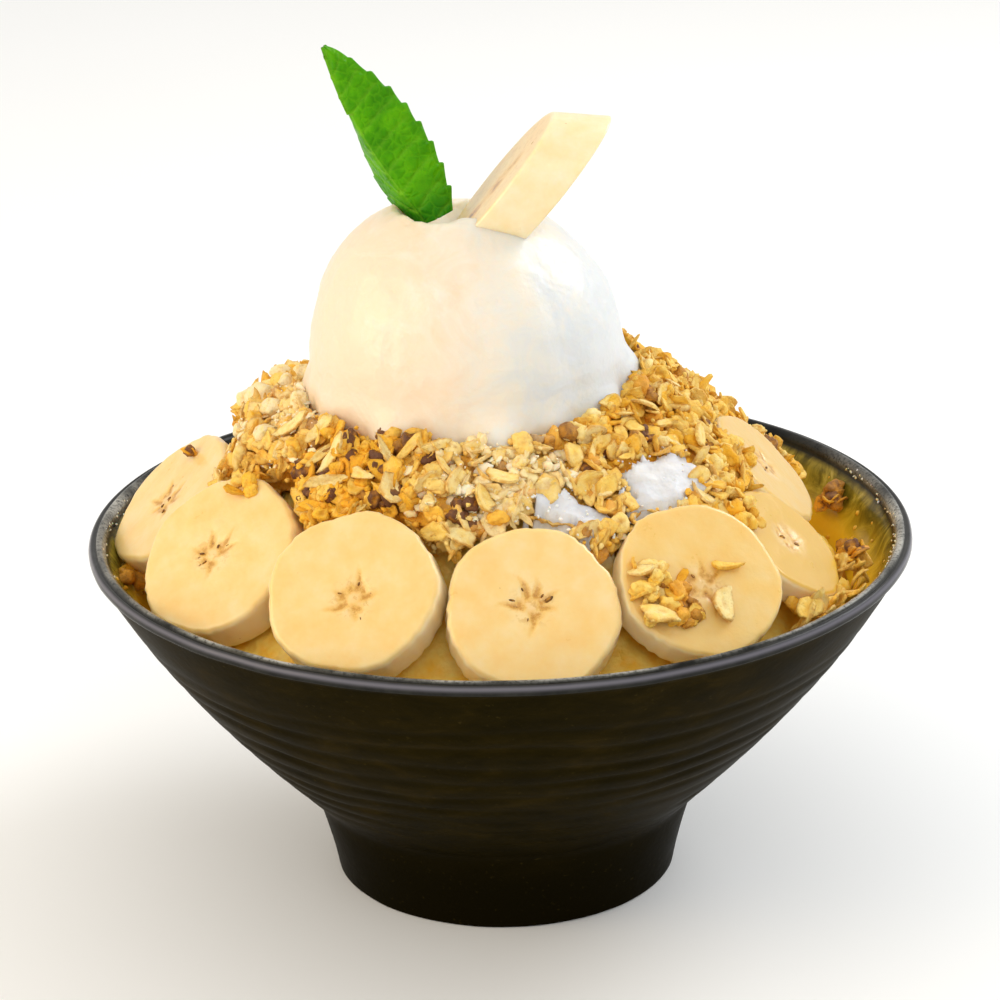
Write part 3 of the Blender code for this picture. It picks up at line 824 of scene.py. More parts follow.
def spread_arms(rng):
    """A star for a slice whose heart the photo hides."""
    first = rng.uniform(0.0, 60.0)
    arms = tuple((first + 60.0 * k + rng.uniform(-12, 12), rng.uniform(5.0, 8.5)) for k in range(6))
    return (rng.uniform(-1.0, 1.0), rng.uniform(-1.0, 1.0), arms)


def star_at(up, right, arms):
    """Strength of the seed star and of the pale heart round it, at millimetres from its middle."""
    reach = math.hypot(up, right)
    turn = math.degrees(math.atan2(right, up))
    star = 0.0
    for number, (direction, length) in enumerate(arms):
        bend = 7.0 * math.sin(reach * 0.7 + number)
        off = math.radians(angle_between(turn, direction + bend)) * reach
        width = 1.20 - 0.12 * reach
        fade = smoothstep(length, 0.35 * length, reach) * smoothstep(0.4, 2.2, reach)
        star = max(star, fade * bell(off, max(0.28, width)))
    ring = 0.80 * bell(reach - 2.4, 0.9) * (0.45 + 0.55 * math.sin(math.radians(turn) * 3.0 + len(arms)))
    return max(0.85 * star, ring), smoothstep(5.8, 1.4, reach)


# How far the face of a slice has turned golden, by the slice's number.
GOLDEN = {5: 0.35, 6: 1.0, 7: 0.65}


def make_slice(piece, banana):
    """A round of banana with soft shoulders, a sunken heart and string marks down its side."""
    rng = random.Random(piece.number)
    heart_up, heart_right, arms = HEARTS.get(piece.number) or spread_arms(rng)
    columns = 88
    levels = []
    for step in range(5):
        levels.append((0.30 + 0.16 * step, -1.0))
    soft = 0.0011
    for step in range(5):
        turn = math.pi / 2 * (step + 1) / 5
        levels.append((1.0 - (1 - math.sin(turn)) * soft / piece.radius, -1.0 + (1 - math.cos(turn)) * 0.10))
    levels += [(1.0, -0.75), (1.0, -0.6), (1.0, -0.45), (1.0, -0.3)]
    for step in range(7):
        turn = math.pi / 2 * step / 6
        levels.append((1.0 - (1 - math.cos(turn)) * soft / piece.radius, -0.16 + 0.16 * math.sin(turn)))
    flat = 1.0 - soft / piece.radius
    levels += [(flat * (1.0 - step / 36), 0.0) for step in range(1, 36)]
    rings = []
    star = []
    heart = []
    side = []
    shift = Vector((piece.number * 3.1, 0.0, 0.0))
    for share, level in levels:
        ring = []
        for step in range(columns):
            turn = math.tau * step / columns
            reach = share * piece.radius * slice_outline(turn, piece.number)
            string = 0.00034 * rough(Vector((9.0 * math.cos(turn), 9.0 * math.sin(turn), 0.0)) + shift, 1.0, 3)
            reach += string * smoothstep(0.9, 1.0, share)
            x = reach * math.cos(turn)
            y = reach * math.sin(turn)
            z = level * piece.thickness
            marks = (0.0, 0.0)
            if level > -0.2:
                marks = star_at(-x * 1000 - heart_up, y * 1000 - heart_right, arms)
                z += 0.00016 * rough(Vector((x, y, 0.0)) + shift, 0.008, 2)
                z -= 0.00030 * marks[0] + 0.00022 * marks[1]
            ring.append(Vector((x, y, z)))
            star.append(marks[0])
            heart.append(marks[1])
            side.append(1.0 - smoothstep(-0.12, -0.02, level) * (share < 1.001))
        rings.append(ring)
    middle = star_at(-heart_up, -heart_right, arms)
    top = Vector((0.0, 0.0, -0.00030 * middle[0] - 0.00022 * middle[1]))
    name = piece.name.replace("slice", "round")
    mesh = ring_mesh(name, rings, Vector((0.0, 0.0, -piece.thickness)), top)
    paint(mesh, "star", [0.0] + star + [middle[0]])
    paint(mesh, "heart", [0.0] + heart + [middle[1]])
    paint(mesh, "side", [1.0] + side + [0.0])
    paint(mesh, "gold", [GOLDEN.get(piece.number, 0.06)] * len(mesh.vertices))
    mesh.transform(piece.matrix())
    return add_piece(name, mesh, banana, "banana_flesh", piece.name)


def seed_matrix(piece, up, right, length, rng):
    """A seed lying in a slice's face, pointing at the heart's middle."""
    aim = math.atan2(right, -up) + rng.uniform(-0.3, 0.3)
    size = Matrix.Diagonal((length / 1000, 0.55 * length / 1000, 0.5 * length / 1000, 1.0))
    heart_up, heart_right = (HEARTS.get(piece.number) or (0.0, 0.0))[:2]
    point = piece.spot(heart_up + up, heart_right + right, -0.00028)
    turned = piece.matrix().to_3x3().to_4x4()
    return Matrix.Translation(point) @ turned @ Matrix.Rotation(aim, 4, "Z") @ size


def make_seeds(seed_material):
    rng = random.Random(11)
    heap = Heap("banana_seeds")
    for name in SLICE_NODES:
        piece = SliceFrame(name)
        marks = SEEDS.get(piece.number)
        if not marks:
            marks = [(rng.uniform(-3.5, 3.5), rng.uniform(-3.5, 3.5), rng.uniform(0.8, 1.3)) for _ in range(5)]
        for up, right, length in marks:
            matrix = seed_matrix(piece, up, right, length, rng)
            heap.drop(lump_shape(rng, 2, 0.25), matrix, rng.uniform(0.2, 0.8))
    return heap.finish(seed_material, "banana_flesh")


def make_all_slices(banana):
    for name in SLICE_NODES:
        make_slice(SliceFrame(name), banana)


# ----------------------------------------------------------------------------- ice cream
# Bulges of the ball's spread foot: azimuth about its axis, half width in degrees, how far it
# stands out, its height above the base and half height, all in millimetres.
BULGES = (
    (2, 17, 3.3, 6.8, 4.0),
    (40, 18, 0.9, 4.0, 3.0),
    (92, 24, 1.2, 4.5, 3.0),
    (140, 18, 0.8, 4.5, 3.0),
    (181, 13, 1.3, 5.0, 3.0),
    (212, 12, 0.7, 5.5, 2.6),
    (243, 7, 2.4, 3.0, 3.6),
    (262, 7, 0.8, 2.6, 2.4),
    (281, 9, 2.5, 3.2, 3.4),
    (302, 5, 0.7, 4.4, 2.6),
    (333, 10, 2.0, 4.0, 3.6),
)


def scoop_bulge(azimuth, height):
    swell = 0.0
    for place, width, out, level, half in BULGES:
        sideways = bell(angle_between(azimuth, place), width)
        swell = max(swell, out * sideways * bell(height - level, half))
    return swell / 1000


def make_scoop(cream):
    """A ball with a hollow on top, a spread, lobed foot and slow runs down its sides."""
    columns = 168
    centre = SCOOP_CENTRE.z
    rim_turn = math.degrees(math.asin(HOLLOW_RADIUS / SCOOP_RADIUS))
    profile = [(0.008, SCOOP_BASE), (0.016, SCOOP_BASE), (0.024, SCOOP_BASE), (0.0295, SCOOP_BASE)]
    profile += bezier((0.0306, 0.1032), (0.0338, 0.1034), (0.0320, 0.1082), (0.03164, 0.1130), 22)
    for step in range(1, 92):
        turn = math.radians(93.5 + (rim_turn - 93.5) * step / 91)
        profile.append((SCOOP_RADIUS * math.sin(turn), centre + SCOOP_RADIUS * math.cos(turn)))
    hollow = bezier((0.0122, 0.14405), (0.0108, 0.1446), (0.0110, HOLLOW_FLOOR + 0.0010),
                    (0.0030, HOLLOW_FLOOR), 14)
    profile += hollow[1:]
    rings = []
    for radius, height in profile:
        ring = []
        for step in range(columns):
            azimuth = 360.0 * step / columns
            out = on_circle(azimuth, 1.0)
            spot = SCOOP_CENTRE + out * radius
            spot.z = height
            above = (height - SCOOP_BASE) * 1000
            push = scoop_bulge(azimuth, above) * smoothstep(0.029, 0.031, radius)
            run = rough(Vector((out.x * 4.0, out.y * 4.0, height * 40.0)), 1.0, 3)
            push += 0.00042 * run * smoothstep(0.016, 0.024, radius)
            push += 0.00022 * rough(spot, 0.006, 3) * smoothstep(0.008, 0.012, radius)
            spot += out * push
            spot.z -= 1.1 * scoop_bulge(azimuth, 3.2) * smoothstep(5.5, 1.0, above) * smoothstep(0.027, 0.031, radius)
            lean = SCOOP_LEAN * smoothstep(0.010, 0.027, height - centre)
            spot.x -= lean
            top = smoothstep(0.13, 0.14, height)
            spot.z -= 0.0024 * top * bell(angle_between(azimuth, 88.0), 42.0) * smoothstep(0.019, 0.0125, radius)
            spot.z += 0.0028 * top * bell((spot.xy - HOLLOW_LUMP).length, 0.0045) * smoothstep(0.0122, 0.0105, radius)
            rim = bell(radius - HOLLOW_RADIUS, 0.0022) * top
            spot.z += 0.0007 * rim * rough(Vector((out.x * 3.0, out.y * 3.0, 5.0)), 1.0, 3)
            ring.append(spot)
        rings.append(ring)
    bottom = Vector((SCOOP_CENTRE.x, SCOOP_CENTRE.y, SCOOP_BASE))
    top = Vector((SCOOP_CENTRE.x - SCOOP_LEAN, SCOOP_CENTRE.y, HOLLOW_FLOOR))
    mesh = ring_mesh("scoop", rings, bottom, top)
    # painted light: a left-to-right share that tints the cream warm on the left and cool on the right
    paint(mesh, "melt", [smoothstep(-0.034, 0.034, vertex.co.x) for vertex in mesh.vertices])
    return add_piece("scoop", mesh, cream, "cream", "ice_cream")


# ------------------------------------------------------------------------ top banana piece
TOP_CENTRE = Vector((0.0001, -0.0040, 0.1488))
TOP_SLANT = Vector((0.634, 0.0, 0.773))
TOP_ALONG = Vector((0.9961, 0.0, -0.0879))
TOP_LENGTH = 0.0372
TOP_WIDTH = 0.0258
TOP_THICKNESS = 0.0119


def make_top_piece(banana):
    """Banana cut twice on the slant, with a seeded streak down its cut face."""
    columns = 128
    soft = 0.05
    levels = [(share, 0.0) for share in (0.2, 0.4, 0.6, 0.75, 0.88)]
    levels += [(1.0 - soft * (1 - math.sin(math.pi / 2 * k / 5)), soft * (1 - math.cos(math.pi / 2 * k / 5)))
               for k in range(6)]
    levels += [(1.0, soft + (1.0 - 2 * soft) * k / 12) for k in range(1, 12)]
    levels += [(1.0 - soft * (1 - math.cos(math.pi / 2 * k / 5)), 1.0 - soft + soft * math.sin(math.pi / 2 * k / 5))
               for k in range(6)]
    levels += [(share, 1.0) for share in (0.88, 0.75, 0.6, 0.4, 0.2)]
    rings = []
    star = []
    heart = []
    side = []
    for share, level in levels:
        ring = []
        for step in range(columns):
            turn = math.tau * step / columns
            across = share * math.cos(turn) * TOP_LENGTH / 2
            deep = share * math.sin(turn) * TOP_WIDTH / 2
            point = TOP_CENTRE + TOP_SLANT * across - Vector((0.0, deep, 0.0)) + TOP_ALONG * level * TOP_THICKNESS
            point += Vector((0.0, -0.00025, 0.0)) * rough(point, 0.007, 3)
            streak = bell(deep * 1000 - 1.8 + 0.5 * math.sin(across * 500), 2.3)
            streak *= smoothstep(13.5, 7.0, abs(across * 1000 + 3.0))
            broken = 0.55 + 0.45 * math.sin(across * 900.0 + 1.0) + 0.25 * rough(point, 0.002, 2)
            cut = 1.0 if share < 0.93 and level < 0.5 else 0.0
            star.append(cut * streak * max(0.35, broken) * 1.35)
            heart.append((0.42 if level < 0.5 else 0.3) * smoothstep(1.02, 0.80, share))
            side.append(smoothstep(0.93, 0.99, share))
            ring.append(point)
        rings.append(ring[::-1])
        for values in (star, heart, side):
            values[-columns:] = values[-columns:][::-1]
    bottom = TOP_CENTRE.copy()
    top = TOP_CENTRE + TOP_ALONG * TOP_THICKNESS
    mesh = ring_mesh("banana_crown", rings, bottom, top)
    paint(mesh, "star", [0.6] + star + [0.0])
    paint(mesh, "heart", [0.75] + heart + [0.3])
    paint(mesh, "side", [0.0] + side + [0.0])
    paint(mesh, "gold", [0.0] * len(mesh.vertices))
    return add_piece("banana_crown", mesh, banana, "banana_flesh", "banana_top")


# ----------------------------------------------------------------------------- mint leaf
LEAF_TEETH = 9
LEAF_HALF_WIDTH = 0.0116
LEAF_VEINS = 9


def leaf_rib(share):
    """Point of the folded leaf's spine, from the stem end to the tip."""
    lean = -0.0192 * share - 0.0027 * math.sin(math.pi * share)
    return Vector((-0.0136 + lean, -0.0060 + 0.0020 * share, 0.1418 + 0.0356 * share))


def leaf_width(share):
    """Half width: widest near the stem, narrowing to the tip, with a saw-toothed edge."""
    outline = max(0.0, math.sin(math.pi * (0.165 + 0.835 * share))) ** 0.8
    saw = (share * LEAF_TEETH) % 1.0
    tooth = 0.00095 * saw ** 1.6 * (1.0 - smoothstep(0.92, 1.0, saw)) * min(1.0, outline * 1.4)
    return LEAF_HALF_WIDTH * outline - 0.0008 * smoothstep(1.0, 0.8, share) + tooth * smoothstep(1.0, 0.9, share)


def leaf_vein(share, across):
    """Strength of the side veins, which leave the rib and sweep towards the tip."""
    run = share * LEAF_VEINS - 1.5 * abs(across) + 0.6 * across * across
    return bell((run % 1.0) - 0.5, 0.10) * smoothstep(1.0, 0.8, abs(across))


def make_leaf(mint):
    right = Vector((0.90, 0.16, 0.40)).normalized()
    left_low = Vector((-0.66, 0.75, -0.03)).normalized()
    left_high = Vector((0.0, 1.0, 0.0))
    bm = bmesh.new()
    bmesh.ops.create_grid(bm, x_segments=44, y_segments=180, size=1.0)
    vein = []
    low = []
    edge = []
    for vert in bm.verts:
        share = 0.5 * (vert.co.y + 1.0)
        across = vert.co.x
        width = max(0.00005, leaf_width(share))
        side = right if across > 0 else left_low.lerp(left_high, min(1.0, 1.6 * share))
        over = side.cross(Vector((-0.45, 0.05, 0.89))).normalized()
        if over.y > 0:
            over = -over
        rib_line = bell(across, 0.035)
        strength = leaf_vein(share, across)
        quilt = math.sin(math.pi * min(1.0, abs(across))) * (1.0 - strength)
        puff = 0.00022 * quilt - 0.00012 * strength - 0.0004 * rib_line
        puff += 0.0009 * math.sin(math.pi * abs(across)) * (1.0 if across > 0 else 0.3)
        puff += 0.0004 * rough(Vector((share * 9.0, across * 3.0, 0.0)), 1.0, 2) * abs(across)
        vert.co = leaf_rib(share) + side * abs(across) * width + over * puff
        vein.append(max(strength * (0.35 if across > 0 else 0.9), rib_line * 0.6))
        low.append(smoothstep(0.20, 0.02, share) * 0.85)
        edge.append(smoothstep(0.93, 1.0, abs(across)))
    mesh = bpy.data.meshes.new("mint")
    bm.to_mesh(mesh)
    bm.free()
    mesh.shade_smooth()
    for name, values in (("vein", vein), ("low", low), ("edge", edge)):
        paint(mesh, name, values)
    item = add_piece("mint", mesh, mint, "mint", "mint_leaf")
    blade = item.modifiers.new("Blade", "SOLIDIFY")
    blade.thickness = 0.00042
    blade.offset = 0.0
    return item


# ------------------------------------------------------------------------------- granola
def make_granola_core(oats):
    """The heap's hidden bulk, a little smaller than the CAD node that it stands for."""
    mesh = remeshed("granola_core", "granola", VOXEL)

    def shrink(point, normal):
        dip = 0.0034 * snow_share(point) * smoothstep(0.0, 0.5, normal.z)
        return 0.0011 * rough(point, 0.0028, 4) - 0.0016 - dip

    places = push_out(mesh, shrink)
    paint(mesh, "rim", [smoothstep(0.2, -0.3, rough(point, 0.0022, 3)) for point in places])
    # the core shows only in the gaps between the oats; its tint, 0.30 darker than theirs, is painted shade in those
    # gaps
    paint(mesh, "tint", [toasting(point) + 0.30 for point in places])
    paint(mesh, "frost", [0.5 * dusting(point) for point in places])
    return add_piece("granola_core", mesh, oats, "oats", "granola")


def tilted(rng, point, normal, most):
    """A frame on the surface, turned at random and tipped by up to most degrees."""
    matrix = frame_on(point, normal, rng.uniform(0.0, math.tau))
    tip = math.radians(most) * rng.uniform(0.0, 1.0)
    return matrix @ Matrix.Rotation(tip, 4, "X") @ Matrix.Rotation(rng.uniform(0, math.tau), 4, "Z")


def sized(length, breadth=1.0, height=1.0):
    return Matrix.Diagonal((length, length * breadth, length * height, 1.0))


def scatter(heap, rng, count, shapes, size, tilt, lift, tint_shift=0.0, margin=(0.0004, -0.0006)):
    """Drop shapes over the granola, clear of the cream, the slices and the bare snow."""
    dropped = 0
    while dropped < count:
        point, normal = field.anywhere(rng)
        distance = math.hypot(point.x, point.y)
        if distance < 0.026 or normal.z < (-0.7 if distance > 0.050 else -0.15):
            continue
        if rng.random() < smoothstep(0.30, 0.80, snow_share(point)):
            continue
        centre = point + normal * rng.uniform(*lift)
        if not field.clear(centre, *margin):
            continue
        length = rng.triangular(*size)
        tint = toasting(centre) + tint_shift + rng.uniform(-0.22, 0.22)
        frost = dusting(centre) * rng.uniform(0.3, 1.3)
        heap.drop(rng.choice(shapes), tilted(rng, centre, normal, tilt) @ sized(length), tint, frost)
        dropped += 1


def cluster(rng, middle, normal, radius, count, tint, pools):
    """A knot of oats stuck together: lumps within, flakes round the outside."""
    flakes, lumps, flake_shapes, lump_shapes = pools
    frame_matrix = frame_on(middle, normal)
    for number in range(count):
        away = radius * math.sqrt(rng.random())
        turn = rng.uniform(0.0, math.tau)
        rise = 0.55 * math.sqrt(max(0.0, radius ** 2 - away ** 2)) * rng.uniform(0.3, 1.0)
        place = frame_matrix @ Vector((away * math.cos(turn), away * math.sin(turn), rise))
        shade = tint + rng.uniform(-0.2, 0.2)
        if number % 2:
            matrix = tilted(rng, place, normal, 70.0) @ sized(rng.uniform(0.0035, 0.0060))
            flakes.drop(rng.choice(flake_shapes), matrix, shade)
        else:
            matrix = tilted(rng, place, normal, 90.0) @ sized(rng.uniform(0.0026, 0.0042))
            lumps.drop(rng.choice(lump_shapes), matrix, shade)


def lay_flake(heap, rng, shapes, point, normal, length, turn, tip, tint):
    """One flake, given its length, its turn about the normal and its tip, in degrees."""
    matrix = frame_on(point, normal, math.radians(turn)) @ Matrix.Rotation(math.radians(tip), 4, "X")
    heap.drop(rng.choice(shapes), matrix @ sized(length), tint)


# Oats laid one by one: azimuth, distance from the axis in millimetres, length in millimetres,
# turn and tip in degrees, tint.
LAID_FLAKES = (
    (300.0, 36.3, 7.2, 20, 68, 0.06), (291.5, 39.8, 7.0, 80, 42, 0.24), (340.0, 34.8, 6.4, 60, 35, 0.20),
    (327.5, 34.4, 6.6, 150, 50, 0.16), (333.0, 44.5, 6.8, 20, 30, 0.22), (271.0, 45.0, 7.6, 165, 28, 0.16),
    (259.0, 45.8, 7.4, 60, 48, 0.12), (245.5, 49.4, 7.8, 120, 55, 0.10), (257.0, 53.4, 7.0, 10, 30, 0.30),
    (261.8, 53.8, 7.2, 150, 25, 0.14), (296.0, 46.6, 7.6, 40, 38, 0.34), (292.0, 44.8, 7.0, 10, 46, 0.30),
    (266.0, 49.0, 6.4, 90, 30, 0.22), (252.0, 46.8, 6.4, 30, 62, 0.14),
)
LAID_SLIVERS = (
    (209.0, 45.6, 10.0, 70, 20, 0.14), (217.5, 43.6, 9.4, 80, 24, 0.18), (227.0, 46.2, 10.4, 95, 14, 0.10),
    (252.5, 40.8, 8.6, 20, 60, 0.16), (246.0, 41.0, 8.4, 60, 30, 0.30), (236.5, 48.6, 9.6, 15, 44, 0.16),
    (229.0, 51.6, 9.8, 10, 52, 0.10), (240.0, 43.5, 8.8, 110, 26, 0.12), (222.0, 47.0, 8.4, 60, 32, 0.24),
)
# Shaded gaps among the oats on the left, as azimuth and distance from the axis in millimetres; the near-black lumps
# sunk there are painted shade.
SHADED_GAPS = (
    (231.3, 51.0), (219.3, 50.4), (231.8, 47.2), (235.1, 40.9), (245.8, 40.2), (250.9, 41.2), (224.7, 51.8),
    (240.0, 46.0), (226.0, 44.0), (296.0, 43.6), (318.0, 38.0), (262.0, 51.0),
)
PALE_LUMPS = (
    (178.7, 43.0, 5.4), (174.5, 40.2, 5.0), (172.9, 52.0, 5.6), (178.6, 48.6, 5.8), (168.0, 45.5, 5.0),
    (184.0, 52.5, 4.8), (190.0, 46.5, 4.6), (196.0, 42.0, 4.8), (187.0, 40.5, 4.4), (200.0, 50.0, 4.6),
)


def lay_by_hand(rng, pools, slivers, toasted, sliver_shapes):
    """The oats that stand out in the photo, the dark gaps on the left and its creamy lumps."""
    flakes, lumps, flake_shapes, lump_shapes = pools
    for rows, heap, shapes in ((LAID_FLAKES, flakes, flake_shapes), (LAID_SLIVERS, slivers, sliver_shapes)):
        for azimuth, radius, length, turn, tip, tint in rows:
            spot = on_circle(azimuth, radius / 1000)
            point, normal = straight_down(field.oats, spot.x, spot.y)
            if point:
                lay_flake(heap, rng, shapes, point + normal * 0.0010, normal, length / 1000, turn, tip, tint)
    # painted shade: five near-black lumps sunk into each shaded gap
    for azimuth, radius in SHADED_GAPS:
        for _ in range(5):
            spot = on_circle(azimuth + rng.uniform(-2.4, 2.4), radius / 1000 + rng.uniform(-0.0016, 0.0016))
            point, normal = straight_down(field.oats, spot.x, spot.y)
            if point:
                matrix = tilted(rng, point - normal * 0.0006, normal, 90.0) @ sized(rng.uniform(0.0022, 0.0038))
                toasted.drop(rng.choice(lump_shapes), matrix, rng.uniform(0.9, 1.15))
    for azimuth, radius, length in PALE_LUMPS:
        spot = on_circle(azimuth, radius / 1000)
        point, normal = straight_down(field.oats, spot.x, spot.y)
        if point:
            matrix = tilted(rng, point, normal, 60.0) @ sized(length / 1000)
            lumps.drop(rng.choice(lump_shapes), matrix, rng.uniform(0.0, 0.2), 0.85)
    point, normal = straight_down(field.oats, *on_circle(269.4, 0.0504).xy)
    toasted.drop(lump_shapes[3], frame_on(point + normal * 0.0008, normal) @ sized(0.0040), 0.10)


def make_granola(oats, brown):
    rng = random.Random(2024)
    flake_shapes = [flake_shape(rng) for _ in range(26)]
    sliver_shapes = [flake_shape(rng, 0.42) for _ in range(14)]
    lump_shapes = [lump_shape(rng, 3, 0.46) for _ in range(20)]
    grit_shapes = [lump_shape(rng, 1, 0.45) for _ in range(12)]
    flakes = Heap("oat_flakes")
    slivers = Heap("oat_slivers")
    lumps = Heap("granola_lumps")
    # toasted lumps, together with the near-black lumps sunk as painted shade in the gaps
    toasted = Heap("toasted_and_gap_shade_lumps")
    crumbs = Heap("granola_crumbs")
    pools = (flakes, lumps, flake_shapes, lump_shapes)
    scatter(lumps, rng, 330, lump_shapes, (0.0026, 0.0060, 0.0040), 90.0, (-0.0018, -0.0002))
    scatter(toasted, rng, 210, lump_shapes, (0.0024, 0.0055, 0.0036), 90.0, (-0.0020, -0.0006), 0.30)
    scatter(flakes, rng, 1260, flake_shapes, (0.0034, 0.0074, 0.0052), 60.0, (-0.0013, 0.0004))
    scatter(slivers, rng, 520, sliver_shapes, (0.0036, 0.0088, 0.0058), 86.0, (-0.0009, 0.0008), -0.06)
    scatter(crumbs, rng, 1700, grit_shapes, (0.0007, 0.0022, 0.0012), 90.0, (-0.0010, 0.0006), 0.05)
    lay_by_hand(rng, pools, slivers, toasted, sliver_shapes)
    loose_pieces(rng, pools, toasted, slivers, crumbs, sliver_shapes, grit_shapes)
    flakes.finish(oats, "oats")
    slivers.finish(oats, "oats")
    lumps.finish(oats, "oats")
    toasted.finish(brown, "oats")
    crumbs.finish(oats, "oats")


def loose_pieces(rng, pools, toasted, slivers, crumbs, sliver_shapes, grit_shapes):
    """Oats that lie on the banana, in the gap by the right rim and on the bowl's wall."""
    flakes, lumps, flake_shapes, lump_shapes = pools
    rounds = {piece.number: piece for piece in field.slices}
    fifth = rounds[5]
    dark_pools = (flakes, toasted, flake_shapes, lump_shapes)
    cluster(rng, fifth.spot(1.5, -11.2), fifth.normal, 0.0042, 12, 0.30, pools)
    cluster(rng, fifth.spot(-4.8, -12.0), fifth.normal, 0.0036, 9, 0.42, pools)
    cluster(rng, fifth.spot(-2.0, -5.4), fifth.normal, 0.0036, 11, 0.62, dark_pools)
    cluster(rng, fifth.spot(-7.0, -6.2), fifth.normal, 0.0028, 7, 0.50, dark_pools)
    lay_flake(flakes, rng, flake_shapes, fifth.spot(-6.3, 1.8, 0.0010), fifth.normal, 0.0086, 70, 12, 0.10)
    lay_flake(slivers, rng, sliver_shapes, fifth.spot(1.3, 5.6, 0.0008), fifth.normal, 0.0085, 170, 35, 0.45)
    lay_flake(flakes, rng, flake_shapes, fifth.spot(-6.2, -12.4, 0.0030), fifth.normal, 0.0088, 160, 30, 0.22)
    second = rounds[2]
    cluster(rng, second.spot(14.6, -2.0), second.normal, 0.0026, 6, 0.55, pools)
    sixth = rounds[6]
    cluster(rng, sixth.spot(11.5, -5.0), sixth.normal, 0.0044, 13, 0.50, pools)
    seventh = rounds[7]
    cluster(rng, seventh.spot(8.0, -9.0), seventh.normal, 0.0036, 10, 0.38, pools)
    for _ in range(46):
        azimuth = rng.uniform(322.0, 350.0)
        point = on_circle(azimuth, rng.uniform(0.0700, 0.0775), rng.uniform(0.0705, 0.0750))
        if field.in_slice(point, 0.0008) or azimuth > 347.0:
            continue
        normal = (on_circle(azimuth, -0.6) + Vector((0, 0, 1))).normalized()
        matrix = tilted(rng, point, normal, 85.0) @ sized(rng.uniform(0.0040, 0.0078))
        flakes.drop(rng.choice(flake_shapes), matrix, rng.uniform(0.2, 0.65))
    for azimuth, radius, height, size, count in (
            (20.3, 0.0768, 0.0692, 0.0034, 13), (7.4, 0.0735, 0.0640, 0.0024, 7),
            (345.0, 0.0745, 0.0745, 0.0026, 6), (174.8, 0.0630, 0.0893, 0.0022, 6),
            (186.8, 0.0766, 0.0684, 0.0022, 6)):
        normal = (on_circle(azimuth, -0.7) + Vector((0, 0, 1))).normalized()
        cluster(rng, on_circle(azimuth, radius, height), normal, size, count, 0.72, dark_pools)
    wall = surface_of("bowl")
    for _ in range(220):
        spot = on_circle(rng.uniform(0.0, 360.0), rng.uniform(0.0725, 0.0800))
        point, normal = straight_down(wall, spot.x, spot.y)
        if point is None or field.in_slice(point, 0.0004):
            continue
        matrix = tilted(rng, point - normal * 0.0003, normal, 90.0) @ sized(rng.uniform(0.0006, 0.0015))
        crumbs.drop(rng.choice(grit_shapes), matrix, rng.uniform(0.2, 0.9))


def make_snow_grains(snow_grain):
    """Loose crystals on the bare snow and a frosting of them along the lip's inner edge."""
    rng = random.Random(77)
    shapes = [lump_shape(rng, 1, 0.5) for _ in range(10)]
    heap = Heap("snow_grains")
    dropped = 0
    slush = [lump_shape(rng, 2, 0.6) for _ in range(16)]
    while dropped < 230:
        point, normal = field.anywhere(rng)
        if normal.z < 0.2 or rng.random() > 1.7 * dusting(point) or snow_share(point) > 0.02:
            continue
        if not field.clear(point, 0.0002, 0.0004):
            continue
        centre = point + normal * rng.uniform(-0.0012, 0.0)
        size = sized(rng.triangular(0.0014, 0.0040, 0.0024), 1.0, 0.5)
        shade = rng.uniform(0.45, 1.0)
        heap.drop(rng.choice(slush), tilted(rng, centre, normal, 60.0) @ size, shade)
        dropped += 1
        for _ in range(3):
            crystal = centre + Vector([rng.uniform(-0.0014, 0.0014) for _ in range(3)])
            heap.drop(rng.choice(shapes), tilted(rng, crystal, normal, 90.0) @ sized(rng.uniform(0.0003, 0.0006)), 0.5)
    for _ in range(90):
        azimuth, distance, half_length, half_depth = rng.choice(SNOW_PATCHES)
        spot = on_circle(azimuth + math.degrees(rng.uniform(-1.2, 1.2) * half_length / distance),
                         distance + rng.uniform(-1.2, 1.2) * half_depth)
        point, normal = straight_down(field.ground, spot.x, spot.y)
        if point is None or not field.clear(point, 0.0002, 0.0004):
            continue
        matrix = tilted(rng, point - normal * 0.0002, normal, 90.0) @ sized(rng.uniform(0.0004, 0.0010))
        heap.drop(rng.choice(shapes), matrix, rng.uniform(0.0, 0.3))
    for _ in range(900):
        azimuth = rng.uniform(150.0, 385.0)
        if rng.random() > 0.45 + 0.55 * rough(on_circle(azimuth, 1.0), 0.35, 2):
            continue
        radius = RIM_RADIUS - 0.0029 - abs(rng.gauss(0.0, 0.0005))
        point = on_circle(azimuth, radius, BOWL_HEIGHT - 0.0007 - 1.3 * (RIM_RADIUS - 0.0029 - radius))
        matrix = tilted(rng, point, Vector((0, 0, 1)), 90.0) @ sized(rng.uniform(0.0003, 0.0008))
        heap.drop(rng.choice(shapes), matrix, rng.random())
    return heap.finish(snow_grain, "ice")


# --------------------------------------------------------------------------------- stage
def add_light(name, place, aim, size, power, colour):
    lamp = bpy.data.lights.new(name, "AREA")
    lamp.shape = "RECTANGLE"
    lamp.size, lamp.size_y = size
    lamp.energy = power
    lamp.color = colour
    item = bpy.data.objects.new(name, lamp)
    bpy.context.scene.collection.objects.link(item)
    item.location = place
    item.rotation_euler = (Vector(aim) - Vector(place)).to_track_quat("-Z", "Y").to_euler()


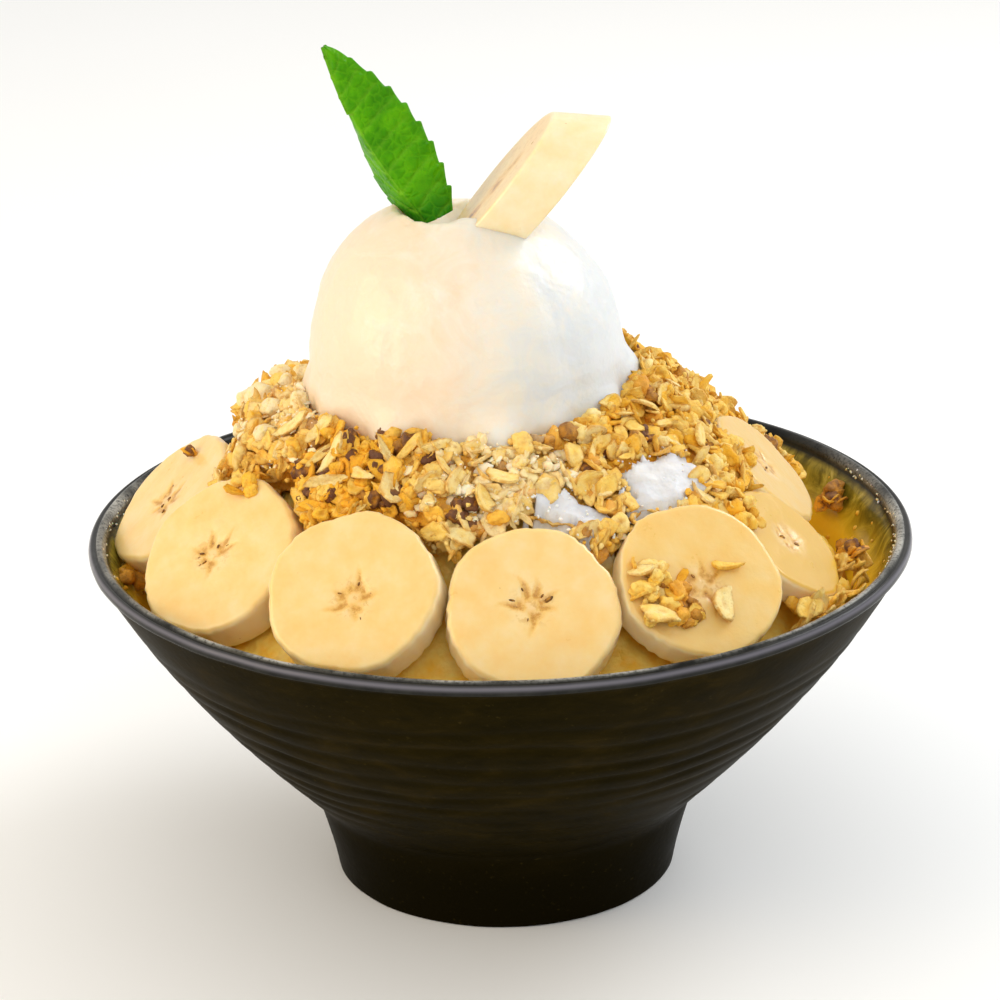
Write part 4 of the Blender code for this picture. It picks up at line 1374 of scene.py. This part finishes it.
def make_stage():
    """A pale floor, soft daylight from the right and behind and a warm fill from the left."""
    bpy.ops.mesh.primitive_plane_add(size=6.0, location=(0.0, 0.0, 0.0))
    floor = bpy.context.object
    floor.name = "floor"
    look = Look("floor", Roughness=0.7)
    look.colour(look.ramp(look.noise(0.4, 2.0), (0.3, (0.90, 0.90, 0.89)), (0.7, (0.92, 0.92, 0.91))))
    floor.data.materials.append(look.material)
    world = bpy.data.worlds.new("studio")
    world.use_nodes = True
    world.node_tree.nodes["Background"].inputs["Color"].default_value = (1.0, 0.99, 0.97, 1.0)
    world.node_tree.nodes["Background"].inputs["Strength"].default_value = 0.92
    bpy.context.scene.world = world
    aim = (0.0, 0.0, 0.09)
    add_light("window", (0.55, 0.35, 0.60), aim, (0.4, 0.4), 3.0, (0.92, 0.96, 1.0))
    add_light("warm_fill", (-0.70, -0.25, 0.40), aim, (0.5, 0.5), 2.6, (1.0, 0.80, 0.52))
    add_light("front", (0.15, -0.80, 0.75), aim, (0.5, 0.4), 0.9, (1.0, 0.98, 0.95))


def make_camera():
    """The photo's view: 21 degrees down on the rim, with a slight roll."""
    lens = bpy.data.cameras.new("camera")
    lens.lens = CAMERA_LENS
    lens.sensor_width = 36.0
    lens.shift_y = CAMERA_SHIFT
    camera = bpy.data.objects.new("camera", lens)
    bpy.context.scene.collection.objects.link(camera)
    tilt = math.radians(CAMERA_ELEVATION)
    aim = Vector((0.0, 0.0, BOWL_HEIGHT))
    back = Vector((0.0, -math.cos(tilt), math.sin(tilt)))
    up = Vector((0.0, math.sin(tilt), math.cos(tilt)))
    right = Vector((1.0, 0.0, 0.0))
    roll = math.radians(CAMERA_ROLL)
    rolled_right = right * math.cos(roll) - up * math.sin(roll)
    rolled_up = right * math.sin(roll) + up * math.cos(roll)
    turned = Matrix((rolled_right, rolled_up, back)).transposed().to_4x4()
    camera.matrix_world = Matrix.Translation(aim + back * CAMERA_DISTANCE) @ turned
    bpy.context.scene.camera = camera


# ---------------------------------------------------------------------------------- main
field = Field()
make_camera()
make_stage()
make_bowl(glaze_look(), lining_look())
make_snow(snow_look())
OATS = oat_look("oats", (0.06, (1.0, 0.82, 0.37)), (0.33, (1.0, 0.700, 0.160)), (0.60, (1.0, 0.54, 0.030)),
                (0.88, (0.92, 0.40, 0.015)), (1.0, (0.20, 0.080, 0.030)))
# brown for toasted lumps; its darkest end also colours the lumps sunk as painted shade in the gaps
BROWN = oat_look("toasted_oats", (0.1, (1.0, 0.55, 0.065)), (0.5, (0.84, 0.38, 0.030)),
                 (0.9, (0.15, 0.058, 0.026)))
SEED = oat_look("seeds", (0.1, (0.34, 0.17, 0.04)), (0.6, (0.12, 0.05, 0.014)), (1.0, (0.04, 0.018, 0.008)))
BANANA = banana_look("banana")
make_granola_core(OATS)
make_granola(OATS, BROWN)
make_snow_grains(frost_look())
make_all_slices(BANANA)
make_seeds(SEED)
make_scoop(cream_look())
make_top_piece(BANANA)
make_leaf(mint_look())
bpy.context.scene.view_settings.view_transform = "Standard"
